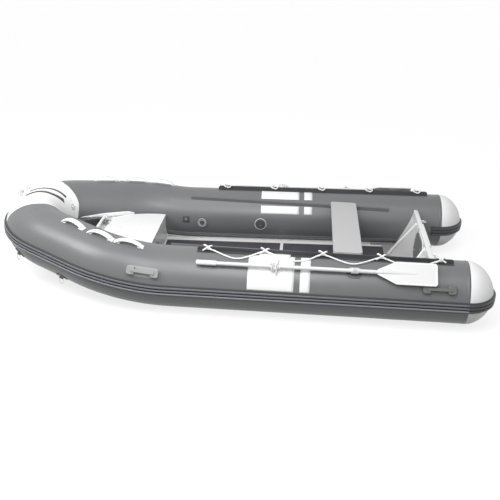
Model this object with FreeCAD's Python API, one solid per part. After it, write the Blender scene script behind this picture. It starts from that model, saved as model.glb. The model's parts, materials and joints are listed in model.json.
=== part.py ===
import FreeCAD, Part
import math
import os

V = FreeCAD.Vector

# Frame: +X to the bow, +Y to port, +Z up. The origin is on the waterline, amidships on the centreline.

# Buoyancy tube
TUBE_RADIUS = 210.0
TUBE_HEIGHT = 225.0
STERN_RING_X = -1560.0
STERN_HALF_SPREAD = 670.0
TOE_IN_DEGREES = 1.43
MAIN_RUN = 1993.0
SHEER_RADIUS = 1414.0
SHEER_DEGREES = 8.14
SHOULDER_RADIUS = 873.0
SHOULDER_DEGREES = 26.2
SHOULDER_RUN = 368.0
NOSE_PATCH_HALF = 248.0
CONE_LENGTH = 180.0
CONE_RIM_RADIUS = 140.0
SEAT_GAP = 0.3
OVERRUN = 400.0
PATH_STEPS = 400
SEEK_STEP = 0.03

# Rub strake
STRAKE_TOP = 24.0
STRAKE_HEIGHT = 76.0
STRAKE_BASE = 7.0
STRAKE_RIDGE = 8.0
STRAKE_RIDGE_HEIGHT = 15.0
STRAKE_RIDGES = 3
STRAKE_RETURN = 80.0
STRAKE_GAP = 0.6

# Bottom
KEEL_DRAUGHT = 120.0
DECK_TOP = 55.0
DECK_THICKNESS = 20.0
DECK_BORDER = 40.0
DECK_DIVIDER = 24.0
DECK_PAD = 3.0
DECK_PAD_SPLIT = 1043.0
DECK_PAD_START = 230.0
DECK_PAD_END_GAP = 8.0
DECK_PAD_CORNER = 26.0
DECK_PAD_STEPS = 6

# Transom
TRANSOM_AHEAD = 215.0
TRANSOM_THICKNESS = 36.0
TRANSOM_TOP = 364.0
TRANSOM_RAKE_DEGREES = 5.0
TRANSOM_EDGE = 9.0
TRANSOM_RIB_Y = 196.0
TRANSOM_RIB = 7.0
TRANSOM_RIB_DROP = 30.0
MOTOR_PAD_WIDTH = 300.0
MOTOR_PAD_HEIGHT = 190.0
MOTOR_PAD_DROP = 34.0
MOTOR_PAD_THICKNESS = 12.0
MOTOR_PAD_CORNER = 60.0
MOTOR_PAD_RIM = 14.0
MOTOR_PAD_RIM_RISE = 5.0
MOTOR_PAD_GAP = 1.0
OUTER_PAD_THICKNESS = 4.0
CLAMP_LAND = 8.0
CLAMP_LAND_MARGIN = 60.0
STERN_EYE_GAP = 134.0
STERN_EYE_DROP = 28.0
STERN_EYE_RADIUS = 15.0
STERN_EYE_LEG = 28.0
EYE_WIRE = 4.0
EYE_FOOT_RADIUS = 8.0
EYE_FOOT = 3.0
KNEE_PAD_GAP = 81.0
KNEE_TOP_DROP = 14.0
KNEE_RUN = 215.0
KNEE_SPLAY = 76.0
KNEE_SWEEP = 124.0
KNEE_TUCK = 70.0
KNEE_RIM = 20.0
KNEE_RECESS = 9.0
KNEE_HOLE_INSET = 130.0
KNEE_HOLE_WIDTH = 72.0
KNEE_HOLE_HEIGHT = 52.0

# Bow locker
LOCKER_REACH = 901.6
LOCKER_TOP_AFT = 287.0
LOCKER_SLOPE_DEGREES = 3.4
LOCKER_WALL = 8.0
LOCKER_FLOOR = 6.0
CAVITY_MARGIN = 20.0
LID_LENGTH = 387.0
LID_THICKNESS = 18.0
LID_SKIN = 5.0
LID_RIM = 26.0
LID_RIB = 10.0
LID_GAP = 5.0
LID_SEAT_GAP = 0.5
LID_OVERHANG = 6.0
LID_SIDE_MARGIN = 20.0
LID_FORE_MARGIN = 58.0
LID_LEDGE = 22.0
HINGE_SHARE = 0.52
HINGE_RADIUS = 6.5
HINGE_PIN_RADIUS = 3.0
HINGE_PIN_CLEARANCE = 0.2
HINGE_BARREL = 40.0
HINGE_KNUCKLE = 14.0
HINGE_GAP = 5.0
HINGE_LEAF_LENGTH = 36.0
HINGE_LEAF = 3.0
LATCH_Z = 191.0
LATCH_RADIUS = 17.0
LATCH_THICKNESS = 7.0
LATCH_TURN = 9.0
BEAM_GAP = 50.0
BEAM_WIDTH = 18.0
BEAM_HEIGHT = 9.0
WELL_GAP = 71.0
WELL_LENGTH = 134.0
WELL_AFT_SHARE = 0.71
WELL_FORE_SHARE = 0.385
WELL_DEPTH = 150.0
WELL_CORNER = 14.0
COAMING_WIDTH = 8.0
COAMING_HEIGHT = 6.0
LINE_EYE_PLACE = 152.0
LINE_EYE_SHARE = 0.70
LINE_EYE_RADIUS = 12.0
LINE_EYE_LEG = 8.0

# Seat and its rails
RAIL_INSET_SHARE = 0.824
RAIL_AHEAD = 205.0
RAIL_LENGTH_SHARE = 0.793
RAIL_RISE = 18.4
RAIL_WIDTH = 20.0
RAIL_DEPTH = 60.0
RAIL_EDGE = 4.0
SEAT_AHEAD = 565.0
SEAT_WIDTH = 200.0
SEAT_THICKNESS = 24.0
SEAT_OVERLAP = 8.0
SEAT_EDGE = 5.0
SEAT_LIP_DROP = 11.0
SEAT_LIP_WIDTH = 14.0
SEAT_LIP_GAP = 2.0
SEAT_CORNER = 22.0

# Lacing strip, its eyelets and the lifeline
LACING_AFT_S = 100.0
LACING_FORE_S = 1795.0
LACING_HEIGHT = 28.0
LACING_THICKNESS = 5.0
LACING_BASE_WIDTH = 60.0
LACING_BASE = 2.5
LACING_DEGREES = 4.0
LACING_END_SLANT = 12.0
EYELET_FIRST_S = 187.0
EYELET_PITCH = 384.0
EYELET_COUNT = 5
EYELET_RADIUS = 6.0
EYELET_HEIGHT = 17.0
ROPE_DIAMETER = 10.0

# The lifeline's route along the port tube: station, degrees outboard of the top, and rise off the tube
LIFELINE_ROUTE = (
    (1743, 6.0, 17), (1703, 6.0, 17), (1618, 18.0, 9), (1524, 28.0, 8), (1436, 19.0, 9),
    (1359, 6.0, 17), (1319, 6.0, 17), (1238, 17.0, 9), (1138, 26.0, 8), (1042, 20.0, 9),
    (975, 6.0, 17), (935, 6.0, 17), (852, 16.5, 9), (758, 26.0, 8), (668, 17.0, 9),
    (591, 6.0, 17), (551, 6.0, 17), (470, 17.0, 9), (376, 27.0, 8), (284, 18.0, 9),
    (207, 6.0, 17), (167, 6.0, 17),
)

# Oars
OAR_PIN_S = 745.0
OAR_PIN_DEGREES = 41.0
OAR_STANDOFF = 34.0
OAR_SHAFT_RADIUS = 13.0
OAR_GRIP_RADIUS = 17.0
OAR_GRIP_LENGTH = 135.0
OAR_GRIP_RINGS = 6
OAR_GRIP_GROOVE = 1.6
OAR_FORE_LENGTH = 1035.0
OAR_AFT_LENGTH = 528.0
BLADE_LENGTH = 382.0
BLADE_WIDTH = 160.0
BLADE_THICKNESS = 9.0
BLADE_NECK_RADIUS = 17.0
BLADE_TAPER = 121.0
BLADE_CORNER = 20.0
BLADE_SPINE = 250.0
COLLAR_RADIUS = 20.0
COLLAR_LENGTH = 46.0
PIN_RADIUS = 6.0
PIN_CLEARANCE = 0.1
PIN_HEAD_RADIUS = 11.0
PIN_HEAD = 6.0
ROWLOCK_PAD_LENGTH = 100.0
ROWLOCK_PAD_WIDTH = 74.0
ROWLOCK_PAD = 5.0
ROWLOCK_BOSS_RADIUS = 16.0
ROWLOCK_GAP = 0.5

# Carry handles, grab straps, tow rings and valves
HANDLE_AFT_S = 200.0
HANDLE_FROM_NOSE = 1240.6
HANDLE_DEGREES = 63.0
BOW_HANDLE_DEGREES = 41.0
HANDLE_PAD_LENGTH = 226.0
HANDLE_PAD_WIDTH = 70.0
HANDLE_PAD = 2.5
HANDLE_PAD_CORNER = 30.0
HANDLE_BLOCK_LENGTH = 56.0
HANDLE_BLOCK_WIDTH = 60.0
HANDLE_BLOCK_CORNER = 15.0
HANDLE_BLOCK_PLACE = 80.0
HANDLE_BAR = 22.0
HANDLE_BAR_THICKNESS = 12.0
HANDLE_RISE = 32.0
HANDLE_BLOCK = 26.0
HANDLE_BLOCK_EDGE = 8.0
HANDLE_BAR_EDGE = 4.0
STRAP_FROM_NOSE = (1100.6, 893.6, 655.6)
STRAP_DEGREES = 11.0
STRAP_LENGTH = 200.0
STRAP_WIDTH = 40.0
STRAP_THICKNESS = 3.0
STRAP_RISE = 34.0
STRAP_FOOT = 40.0
STRAP_FOOT_THICKNESS = 2.0
VALVE_S = (1440.0, 1910.0)
VALVE_DEGREES = -91.0
VALVE_RADIUS = 34.0
VALVE_FLANGE = 3.0
VALVE_RIM = 7.0
VALVE_RIM_WIDTH = 8.0
VALVE_CAP_RADIUS = 19.0
VALVE_CAP = 6.0
VENT_S = 2040.0
VENT_DEGREES = -85.0
VENT_SIDE = 44.0
VENT_CORNER = 6.0
VENT_THICKNESS = 3.0
VENT_BUTTON_RADIUS = 8.0
VENT_BUTTON = 4.0
RING_FROM_NOSE = (670.6, 305.6)
RING_DEGREES = (140.0, 128.0)
RING_PATCH_RADIUS = 45.0
RING_PATCH = 4.0
RING_RADIUS = 19.0
RING_WIRE = 2.6
RING_LEG = 26.0
RING_TAB_RADIUS = 7.0
RING_TAB_LENGTH = 28.0
TIE_RING_FROM_NOSE = 235.0
TIE_RING_DEGREES = -66.0
TIE_PATCH_RADIUS = 24.0
TIE_PATCH = 2.5
TIE_RING_RADIUS = 12.0


def rotated(vector, axis, degrees):
    return FreeCAD.Rotation(axis, degrees).multVec(vector)


class TubePath:
    """The port tube's centreline from the stern ring to the nose, as straight runs and arcs."""

    def __init__(self):
        self.moves = []
        self.start = V(STERN_RING_X, STERN_HALF_SPREAD, TUBE_HEIGHT)
        toe = math.radians(TOE_IN_DEGREES)
        self.forward = V(math.cos(toe), -math.sin(toe), 0)
        self.outboard = V(math.sin(toe), math.cos(toe), 0)
        self.place = FreeCAD.Placement()
        self.length = 0.0
        self.run(MAIN_RUN)
        self.turn(self.outboard * -1, self.up() * SHEER_RADIUS, SHEER_DEGREES, SHEER_RADIUS)
        ahead = self.ahead()
        self.lift = V(ahead.x, 0, ahead.z)
        self.lift.normalize()
        self.plane_up = self.lift.cross(V(0, 1, 0))
        self.shoulder(SHOULDER_RADIUS, SHOULDER_DEGREES)
        self.run(SHOULDER_RUN)
        heading = math.atan2(-self.ahead().y, self.ahead().dot(self.lift))
        self.nose_radius = self.point().y / math.cos(heading)
        self.nose_degrees = 90.0 - math.degrees(heading)
        self.patch_degrees = math.degrees(NOSE_PATCH_HALF / self.nose_radius)
        self.shoulder(self.nose_radius, self.nose_degrees - self.patch_degrees)
        self.shoulder(self.nose_radius, self.patch_degrees)

    def up(self):
        return V(0, 0, 1)

    def ahead(self):
        return self.place.Rotation.multVec(self.forward)

    def point(self):
        return self.place.multVec(self.start)

    def run(self, length):
        shift = self.ahead() * length
        self.moves.append(("run", self.place.copy(), shift, length))
        self.place = FreeCAD.Placement(shift, FreeCAD.Rotation()).multiply(self.place)
        self.length += length

    def turn(self, axis, arm, degrees, radius):
        centre = self.point() + arm
        self.moves.append(("turn", self.place.copy(), (centre, axis, degrees), math.radians(degrees) * radius))
        spin = FreeCAD.Placement(V(0, 0, 0), FreeCAD.Rotation(axis, degrees), centre)
        self.place = spin.multiply(self.place)
        self.length += math.radians(degrees) * radius

    def shoulder(self, radius, degrees):
        inward = self.plane_up.cross(self.ahead()) * -1
        self.turn(self.plane_up * -1, inward * radius, degrees, radius)

    def frame(self, station):
        """The placement that carries a shape drawn at the stern ring to a station along the tube."""
        left = station
        for kind, place, data, length in self.moves:
            if left <= length or (kind, place, data, length) == self.moves[-1]:
                share = left / length
                if kind == "run":
                    return FreeCAD.Placement(data * share, FreeCAD.Rotation()).multiply(place)
                centre, axis, degrees = data
                spin = FreeCAD.Placement(V(0, 0, 0), FreeCAD.Rotation(axis, degrees * share), centre)
                return spin.multiply(place)
            left -= length


PATH = TubePath()
TOE = FreeCAD.Placement(PATH.start, FreeCAD.Rotation(V(0, 0, 1), -TOE_IN_DEGREES))

# Places worked out from the tubes
NOSE_X = PATH.point().x
TRANSOM_X = STERN_RING_X + TRANSOM_AHEAD
LOCKER_AFT = NOSE_X - LOCKER_REACH
LID_FORE_X = LOCKER_AFT + LID_LENGTH
RAIL_Y = STERN_HALF_SPREAD - RAIL_INSET_SHARE * TUBE_RADIUS
RAIL_AFT_X = TRANSOM_X + RAIL_AHEAD
RAIL_LENGTH = RAIL_LENGTH_SHARE * MAIN_RUN
SEAT_X = TRANSOM_X + SEAT_AHEAD
SEAT_HALF = RAIL_Y + SEAT_OVERLAP
KNEE_INNER_Y = MOTOR_PAD_WIDTH / 2 + KNEE_PAD_GAP
KNEE_OUTER_Y = STERN_HALF_SPREAD - KNEE_TUCK


def on_tube(shape, station, degrees=0.0):
    """Carries a shape drawn about the origin (X forward, Y outboard, Z up) to a station on the port tube.

    The angle turns it about the tube from the top towards outboard.
    """
    roll = FreeCAD.Placement(V(0, 0, 0), FreeCAD.Rotation(V(1, 0, 0), -degrees))
    out = shape.copy()
    out.Placement = PATH.frame(station).multiply(TOE).multiply(roll).multiply(out.Placement)
    return out


def tube_point(station, degrees, radius):
    roll = FreeCAD.Rotation(V(1, 0, 0), -degrees)
    local = roll.multVec(V(0, 0, radius))
    return PATH.frame(station).multiply(TOE).multVec(local)


PATH_POINTS = [tube_point(PATH.length * i / PATH_STEPS, 0, 0) for i in range(PATH_STEPS + 1)]


def mirrored(shape):
    return shape.mirror(V(0, 0, 0), V(0, 1, 0))


def fused(shapes):
    whole = shapes[0]
    if len(shapes) > 1:
        whole = shapes[0].multiFuse(shapes[1:])
    whole = whole.removeSplitter()
    return whole.Solids[0] if len(whole.Solids) == 1 else whole


def swept(face, start, end):
    """Carries a face drawn at the stern ring along the tube from one station to another, as one solid."""
    pieces = []
    begun = 0.0
    for kind, place, data, length in PATH.moves:
        near = max(start, begun)
        far = min(end, begun + length)
        begun += length
        if far - near < SEAT_GAP:
            continue
        here = face.copy()
        here.Placement = PATH.frame(near).multiply(TOE).multiply(here.Placement)
        share = (far - near) / length
        if kind == "run":
            pieces.append(here.extrude(data * share))
        else:
            centre, axis, degrees = data
            pieces.append(here.revolve(centre, axis, degrees * share))
    return fused(pieces)


def disc(radius):
    return Part.Face(Part.Wire(Part.makeCircle(radius, V(0, 0, 0), V(1, 0, 0))))


def box(x0, x1, y0, y1, z0, z1):
    return Part.makeBox(x1 - x0, y1 - y0, z1 - z0, V(x0, y0, z0))


def prism(points, direction):
    return Part.Face(Part.makePolygon(points + points[:1])).extrude(direction)


def arc_outline(radius, v_top, v_bottom):
    """An arc of the tube's section, outboard side, from one height to another."""
    middle = (v_top + v_bottom) / 2
    points = [V(0, math.sqrt(radius * radius - v * v), v) for v in (v_top, middle, v_bottom)]
    return Part.Arc(*points).toShape(), points[0], points[2]


def strake_levels():
    gap = (STRAKE_HEIGHT - STRAKE_RIDGES * STRAKE_RIDGE_HEIGHT) / (STRAKE_RIDGES + 1)
    levels = []
    top = STRAKE_TOP
    for i in range(STRAKE_RIDGES):
        levels.append((top, top - gap, STRAKE_BASE))
        top -= gap
        levels.append((top, top - STRAKE_RIDGE_HEIGHT, STRAKE_BASE + STRAKE_RIDGE))
        top -= STRAKE_RIDGE_HEIGHT
    levels.append((top, top - gap, STRAKE_BASE))
    return levels


def strake_face():
    edges = []
    last = None
    for v_top, v_bottom, thickness in strake_levels():
        edge, a, b = arc_outline(TUBE_RADIUS + thickness, v_top, v_bottom)
        if last is not None:
            edges.append(Part.makeLine(last, a))
        edges.append(edge)
        last = b
    inner, a, b = arc_outline(TUBE_RADIUS + STRAKE_GAP, STRAKE_TOP, STRAKE_TOP - STRAKE_HEIGHT)
    first = edges[0].Vertexes[0].Point
    edges.append(Part.makeLine(last, b))
    edges.append(inner)
    edges.append(Part.makeLine(a, first))
    return Part.Face(Part.Wire(Part.__sortEdges__(edges)))


def cone_arcs():
    """The two arcs of the stern cone's outline: their centres and how far the first one turns."""
    rim = V(0, TUBE_RADIUS - CONE_RIM_RADIUS, 0)
    flat = CONE_LENGTH - CONE_RIM_RADIUS
    end = V((rim.y ** 2 - flat ** 2) / (2 * flat), 0, 0)
    return rim, end, math.degrees(math.atan2(end.x, rim.y))


def stern_cone():
    """The cone that closes the tube's stern: a rim arc and a round end, turned about the tube."""
    rim, end, turn = cone_arcs()

    def on_arc(centre, radius, degrees):
        return centre + rotated(V(0, radius, 0), V(0, 0, 1), degrees)

    end_radius = CONE_LENGTH + end.x
    joint = on_arc(rim, CONE_RIM_RADIUS, turn)
    pole = on_arc(end, end_radius, 90.0)
    edges = [
        Part.Arc(pole, on_arc(end, end_radius, (90.0 + turn) / 2), joint).toShape(),
        Part.Arc(joint, on_arc(rim, CONE_RIM_RADIUS, turn / 2), on_arc(rim, CONE_RIM_RADIUS, 0)).toShape(),
        Part.makeLine(on_arc(rim, CONE_RIM_RADIUS, 0), V(0, 0, 0)),
        Part.makeLine(V(0, 0, 0), pole),
    ]
    return on_tube(Part.Face(Part.Wire(edges)).revolve(V(0, 0, 0), V(1, 0, 0), 360.0), 0)


def strake_return():
    """The strake's way round the cone and a little forward again on the inboard side."""
    rim, end, turn = cone_arcs()
    face = strake_face()
    pieces = []
    for centre, degrees in ((rim, turn), (end, 180.0 - 2 * turn), (rim * -1, turn)):
        pieces.append(on_tube(face.revolve(centre, V(0, 0, 1), degrees), 0))
        face.rotate(centre, V(0, 0, 1), degrees)
    pieces.append(on_tube(face.extrude(V(STRAKE_RETURN, 0, 0)), 0))
    return pieces


def tube_cutter(extra=SEAT_GAP):
    whole = swept(disc(TUBE_RADIUS + extra), 0, PATH.length)
    back = on_tube(disc(TUBE_RADIUS + extra).extrude(V(-CONE_LENGTH - OVERRUN, 0, 0)), 0)
    return fused([whole, back])


NODES = {}


def add(name, shape):
    NODES[name] = shape


def both_sides(name, shape):
    add("port_" + name, shape)
    add("starboard_" + name, mirrored(shape))


def tubes():
    both_sides("tube", swept(disc(TUBE_RADIUS), 0, PATH.length - NOSE_PATCH_HALF))
    half = swept(disc(TUBE_RADIUS), PATH.length - NOSE_PATCH_HALF, PATH.length)
    add("nose_section", fused([half, mirrored(half)]))
    both_sides("stern_cone", stern_cone())


def strakes():
    along = swept(strake_face(), 0, PATH.length)
    both_sides("rub_strake", fused([along] + strake_return()))


# The hull's sections: place along it, keel depth, then the chine's place between keel and tube
HULL_SHARES = (
    (0.00, 1.00, 0.66, 0.50),
    (0.40, 1.00, 0.66, 0.48),
    (0.62, 0.90, 0.66, 0.46),
    (0.78, 0.50, 0.62, 0.46),
    (0.89, -0.20, 0.56, 0.48),
    (0.985, -1.85, 0.50, 0.50),
)
TUCK_SHARES = (0.94, 0.85)


def tube_centre(x):
    """The port tube's centre at a place along the boat."""
    low, high = 0.0, PATH.length
    while high - low > SEAT_GAP:
        middle = (low + high) / 2
        if tube_point(middle, 0, 0).x < x:
            low = middle
        else:
            high = middle
    return tube_point(low, 0, 0)


def hull_section(share, keel, chine_y, chine_z):
    """Keel, chine and the point hidden in the tube, port side, at a share of the hull's length."""
    x = TRANSOM_X + share * (NOSE_X - TRANSOM_X)
    centre = tube_centre(x)
    tuck = V(x, centre.y * TUCK_SHARES[0], centre.z - TUBE_RADIUS * TUCK_SHARES[1])
    base = V(x, 0, -keel * KEEL_DRAUGHT)
    chine = V(x, tuck.y * chine_y, base.z + (tuck.z - base.z) * chine_z)
    return [base, chine, tuck, V(x, centre.y, centre.z)]


def hull_form():
    """The hull's outer form from the keel up into the tubes, from the transom to the stem."""
    wires = []
    for shares in HULL_SHARES:
        half = hull_section(*shares)
        points = half + [V(p.x, -p.y, p.z) for p in reversed(half[1:])]
        wires.append(Part.makePolygon(points + points[:1]))
    return Part.makeLoft(wires, True, True)


def largest(shape):
    return max(shape.Solids, key=lambda s: s.Volume)


def on_transom(shape):
    """Carries a shape drawn on the transom's aft face, X forward and Z up from the waterline."""
    out = shape.copy()
    lean = FreeCAD.Placement(V(TRANSOM_X, 0, 0), FreeCAD.Rotation(V(0, 1, 0), -TRANSOM_RAKE_DEGREES))
    out.Placement = lean.multiply(out.Placement)
    return out


def behind_transom():
    wide = 2 * STERN_HALF_SPREAD
    return on_transom(box(-2 * OVERRUN, TRANSOM_THICKNESS, -wide, wide, -2 * OVERRUN, 2 * OVERRUN))


def level(low, high):
    """A slab of the whole plan between two heights."""
    wide = 2 * STERN_HALF_SPREAD
    return box(TRANSOM_X - OVERRUN, NOSE_X + OVERRUN, -wide, wide, low, high)


def clear_of(shape, cutters):
    for cutter in cutters:
        shape = shape.cut(cutter)
    return shape


def bottom(form, cutters):
    deck_low = DECK_TOP - DECK_THICKNESS
    back = behind_transom()
    add("hull", largest(clear_of(form.common(level(-OVERRUN, deck_low)), cutters + [back])))
    pads = deck_pads()
    deck = form.common(level(deck_low, DECK_TOP))
    add("deck", largest(clear_of(deck, cutters + [back] + pads)))
    add("deck_pad_fore", pads[0])
    add("deck_pad_aft", pads[1])


def rounded_plate(x0, x1, half, z0, z1, corner):
    plate = box(x0, x1, -half, half, z0, z1)
    upright = [e for e in plate.Edges if abs(e.Vertexes[0].Z - e.Vertexes[-1].Z) > (z1 - z0) / 2]
    return plate.makeFillet(corner, upright)


def upright_edges(shape, height, beyond):
    """The upright edges of a plate that lie further out than a given half width."""
    out = []
    for e in shape.Edges:
        p, q = e.Vertexes[0].Point, e.Vertexes[-1].Point
        if abs(p.z - q.z) > height / 2 and abs(p.y) > beyond:
            out.append(e)
    return out


def deck_pad(x0, x1):
    """A tread panel that keeps a border's width from the tubes."""
    low = DECK_TOP - DECK_PAD
    steps = DECK_PAD_STEPS
    port = []
    for i in range(steps + 1):
        x = x0 + (x1 - x0) * i / steps
        port.append(V(x, tube_side(x, DECK_TOP) - DECK_BORDER, low))
    plate = prism(port + [V(p.x, -p.y, p.z) for p in reversed(port)], V(0, 0, DECK_PAD))
    corners = [e for e in upright_edges(plate, DECK_PAD, 0) if e.Vertexes[0].X in (x0, x1)]
    return plate.makeFillet(DECK_PAD_CORNER, corners)


def deck_pads():
    split = TRANSOM_X + DECK_PAD_SPLIT
    half = DECK_DIVIDER / 2
    fore = deck_pad(split + half, LOCKER_AFT - DECK_PAD_END_GAP)
    aft = deck_pad(TRANSOM_X + DECK_PAD_START, split - half)
    return [fore, aft]


def round_topped(x0, x1, half):
    """A board across the boat whose top edges are rounded, drawn on the transom's aft face."""
    wide = 2 * STERN_HALF_SPREAD
    board = box(x0, x1, -half, half, -wide, TRANSOM_TOP)
    tops = [
        e for e in board.Edges
        if e.BoundBox.ZMin > TRANSOM_TOP - TRANSOM_EDGE and e.BoundBox.YLength > half
    ]
    return board.makeFillet(TRANSOM_EDGE, tops)


def oval(x0, x1, grow):
    """The motor pads' outline, as a plate across the transom."""
    half = MOTOR_PAD_WIDTH / 2 + grow
    low = TRANSOM_TOP - MOTOR_PAD_DROP - MOTOR_PAD_HEIGHT - grow
    plate = box(x0, x1, -half, half, low, TRANSOM_TOP - MOTOR_PAD_DROP + grow)
    along_x = [e for e in plate.Edges if e.BoundBox.XLength > (x1 - x0) / 2]
    return plate.makeFillet(MOTOR_PAD_CORNER + grow, along_x)


def transom(cutters):
    section = [V(-CLAMP_LAND, p.y, p.z) for p in hull_section(*HULL_SHARES[0])]
    half = section + [V(-CLAMP_LAND, STERN_HALF_SPREAD, TRANSOM_TOP)]
    points = half + [V(p.x, -p.y, p.z) for p in reversed(half[1:])]
    outline = prism(points, V(CLAMP_LAND + TRANSOM_THICKNESS, 0, 0))
    board = round_topped(0, TRANSOM_THICKNESS, 2 * STERN_HALF_SPREAD)
    land_half = MOTOR_PAD_WIDTH / 2 + CLAMP_LAND_MARGIN
    board = board.fuse(round_topped(-CLAMP_LAND, TRANSOM_THICKNESS, land_half))
    board = outline.common(board)
    face = TRANSOM_THICKNESS
    rim = oval(face, face + MOTOR_PAD_RIM_RISE, MOTOR_PAD_GAP + MOTOR_PAD_RIM)
    rim = rim.cut(oval(face, face + 2 * MOTOR_PAD_RIM_RISE, MOTOR_PAD_GAP))
    extras = [rim]
    foot = DECK_TOP + 2 * TRANSOM_RIB
    rib_top = TRANSOM_TOP - TRANSOM_RIB_DROP
    for y in (-TRANSOM_RIB_Y, TRANSOM_RIB_Y):
        for z in (foot, rib_top):
            extras.append(Part.makeSphere(TRANSOM_RIB, V(face, y, z)))
        extras.append(Part.makeCylinder(TRANSOM_RIB, rib_top - foot, V(face, y, foot)))
    board = fused([largest(board)] + extras)
    add("transom", largest(clear_of(on_transom(board), cutters)))
    add("inner_motor_pad", on_transom(oval(face, face + MOTOR_PAD_THICKNESS, 0)))
    add("outer_motor_pad", on_transom(oval(-CLAMP_LAND - OUTER_PAD_THICKNESS, -CLAMP_LAND, 0)))


def knee(cutters):
    """The moulded gusset between the transom, the deck and the tube, port side."""
    lean = math.tan(math.radians(TRANSOM_RAKE_DEGREES))
    front = TRANSOM_X + TRANSOM_THICKNESS / math.cos(math.radians(TRANSOM_RAKE_DEGREES))
    top_z = TRANSOM_TOP - KNEE_TOP_DROP

    def on_face(y, z):
        return V(front - z * lean, y, z)

    foot_x = TRANSOM_X + KNEE_RUN
    top = on_face(KNEE_INNER_Y, top_z)
    foot = V(foot_x, KNEE_INNER_Y + KNEE_SPLAY, DECK_TOP)
    far_top = on_face(KNEE_OUTER_Y, top_z)
    far_foot = V(foot_x - KNEE_SWEEP, KNEE_OUTER_Y, DECK_TOP)
    inner = Part.makePolygon([top, foot, on_face(KNEE_INNER_Y, DECK_TOP), top])
    outer = Part.makePolygon([far_top, far_foot, on_face(KNEE_OUTER_Y, DECK_TOP), far_top])
    solid = Part.makeLoft([inner, outer], True, True)
    down = (foot - top).normalize()
    far_down = (far_foot - far_top).normalize()
    across = (far_top - top).normalize()
    normal = across.cross(down).normalize()
    if normal.x < 0:
        normal = normal * -1
    near_top = top + down * KNEE_RIM + across * KNEE_RIM
    near_foot = foot - down * KNEE_RIM + across * KNEE_RIM
    beyond_top = far_top + far_down * KNEE_RIM
    beyond_foot = far_foot - far_down * KNEE_RIM

    def slab(high, low):
        out = normal * KNEE_RUN
        sunk = normal * -KNEE_RECESS
        return Part.makePolygon([high + out, low + out, low + sunk, high + sunk, high + out])

    window = Part.makeLoft([slab(near_top, near_foot), slab(beyond_top, beyond_foot)], True, True)
    window = window.cut(swept(disc(TUBE_RADIUS + KNEE_RIM), 0, TRANSOM_AHEAD + KNEE_RUN + OVERRUN))
    y = KNEE_INNER_Y + KNEE_HOLE_INSET
    z = top_z - KNEE_RECESS
    behind = front - KNEE_RUN
    hole = [V(behind, y, z), V(behind, y + KNEE_HOLE_WIDTH, z), V(behind, y, z - KNEE_HOLE_HEIGHT)]
    hole = prism(hole, V(2 * KNEE_RUN, 0, 0))
    return largest(clear_of(largest(solid), [window, hole] + cutters))


def locker_z(x):
    return LOCKER_TOP_AFT + (x - LOCKER_AFT) * math.tan(math.radians(LOCKER_SLOPE_DEGREES))


def on_locker(shape):
    """Carries a shape drawn with its top plane at zero height onto the locker's sloping top."""
    out = shape.copy()
    slope = FreeCAD.Rotation(V(0, 1, 0), -LOCKER_SLOPE_DEGREES)
    place = FreeCAD.Placement(V(LOCKER_AFT, 0, LOCKER_TOP_AFT), slope)
    out.Placement = place.multiply(out.Placement)
    return out


def tube_side(x, z):
    """How far out the port tube's inner side lies at a place in the boat."""
    low, high = 0.0, STERN_HALF_SPREAD
    while high - low > SEEK_STEP:
        middle = (low + high) / 2
        inside = min((V(x, middle, z) - p).Length for p in PATH_POINTS) < TUBE_RADIUS
        if inside:
            high = middle
        else:
            low = middle
    return low


def deck_side(x):
    """How far out the tube lies at the locker's top, a distance ahead of the locker's aft edge."""
    return tube_side(LOCKER_AFT + x, locker_z(LOCKER_AFT + x))


def lid_face(grow, aft):
    """The lid's outline, following the tubes, drawn from the locker's aft edge."""
    length = LID_LENGTH
    corner = V(aft, deck_side(0) - LID_SIDE_MARGIN + grow, 0)
    a = V(max(aft, 0), corner.y, 0)
    m = V(length / 2, deck_side(length / 2) - LID_SIDE_MARGIN + grow, 0)
    b = V(length + grow, deck_side(length) - LID_FORE_MARGIN + grow, 0)
    port = Part.Arc(a, m, b).toShape()
    starboard = Part.Arc(V(b.x, -b.y, 0), V(m.x, -m.y, 0), V(a.x, -a.y, 0)).toShape()
    fore = Part.makeLine(b, V(b.x, -b.y, 0))
    edges = [port, fore, starboard]
    if aft < 0:
        edges += [Part.makeLine(V(a.x, -a.y, 0), V(aft, -a.y, 0))]
    edges += [Part.makeLine(V(aft, -a.y, 0), corner)]
    if aft < 0:
        edges += [Part.makeLine(corner, a)]
    return Part.Face(Part.Wire(edges))


def hinge_places():
    y = HINGE_SHARE * (deck_side(LID_LENGTH) - LID_FORE_MARGIN)
    return [V(LID_LENGTH, -y, 0), V(LID_LENGTH, y, 0)]


def along_y(radius, centre, half):
    """A round bar across the boat, centred on a place on the locker's top."""
    return Part.makeCylinder(radius, 2 * half, V(centre.x, centre.y - half, centre.z), V(0, 1, 0))


def hinge_half():
    """Half the width of a whole hinge."""
    return HINGE_BARREL / 2 + HINGE_GAP + HINGE_KNUCKLE


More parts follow.
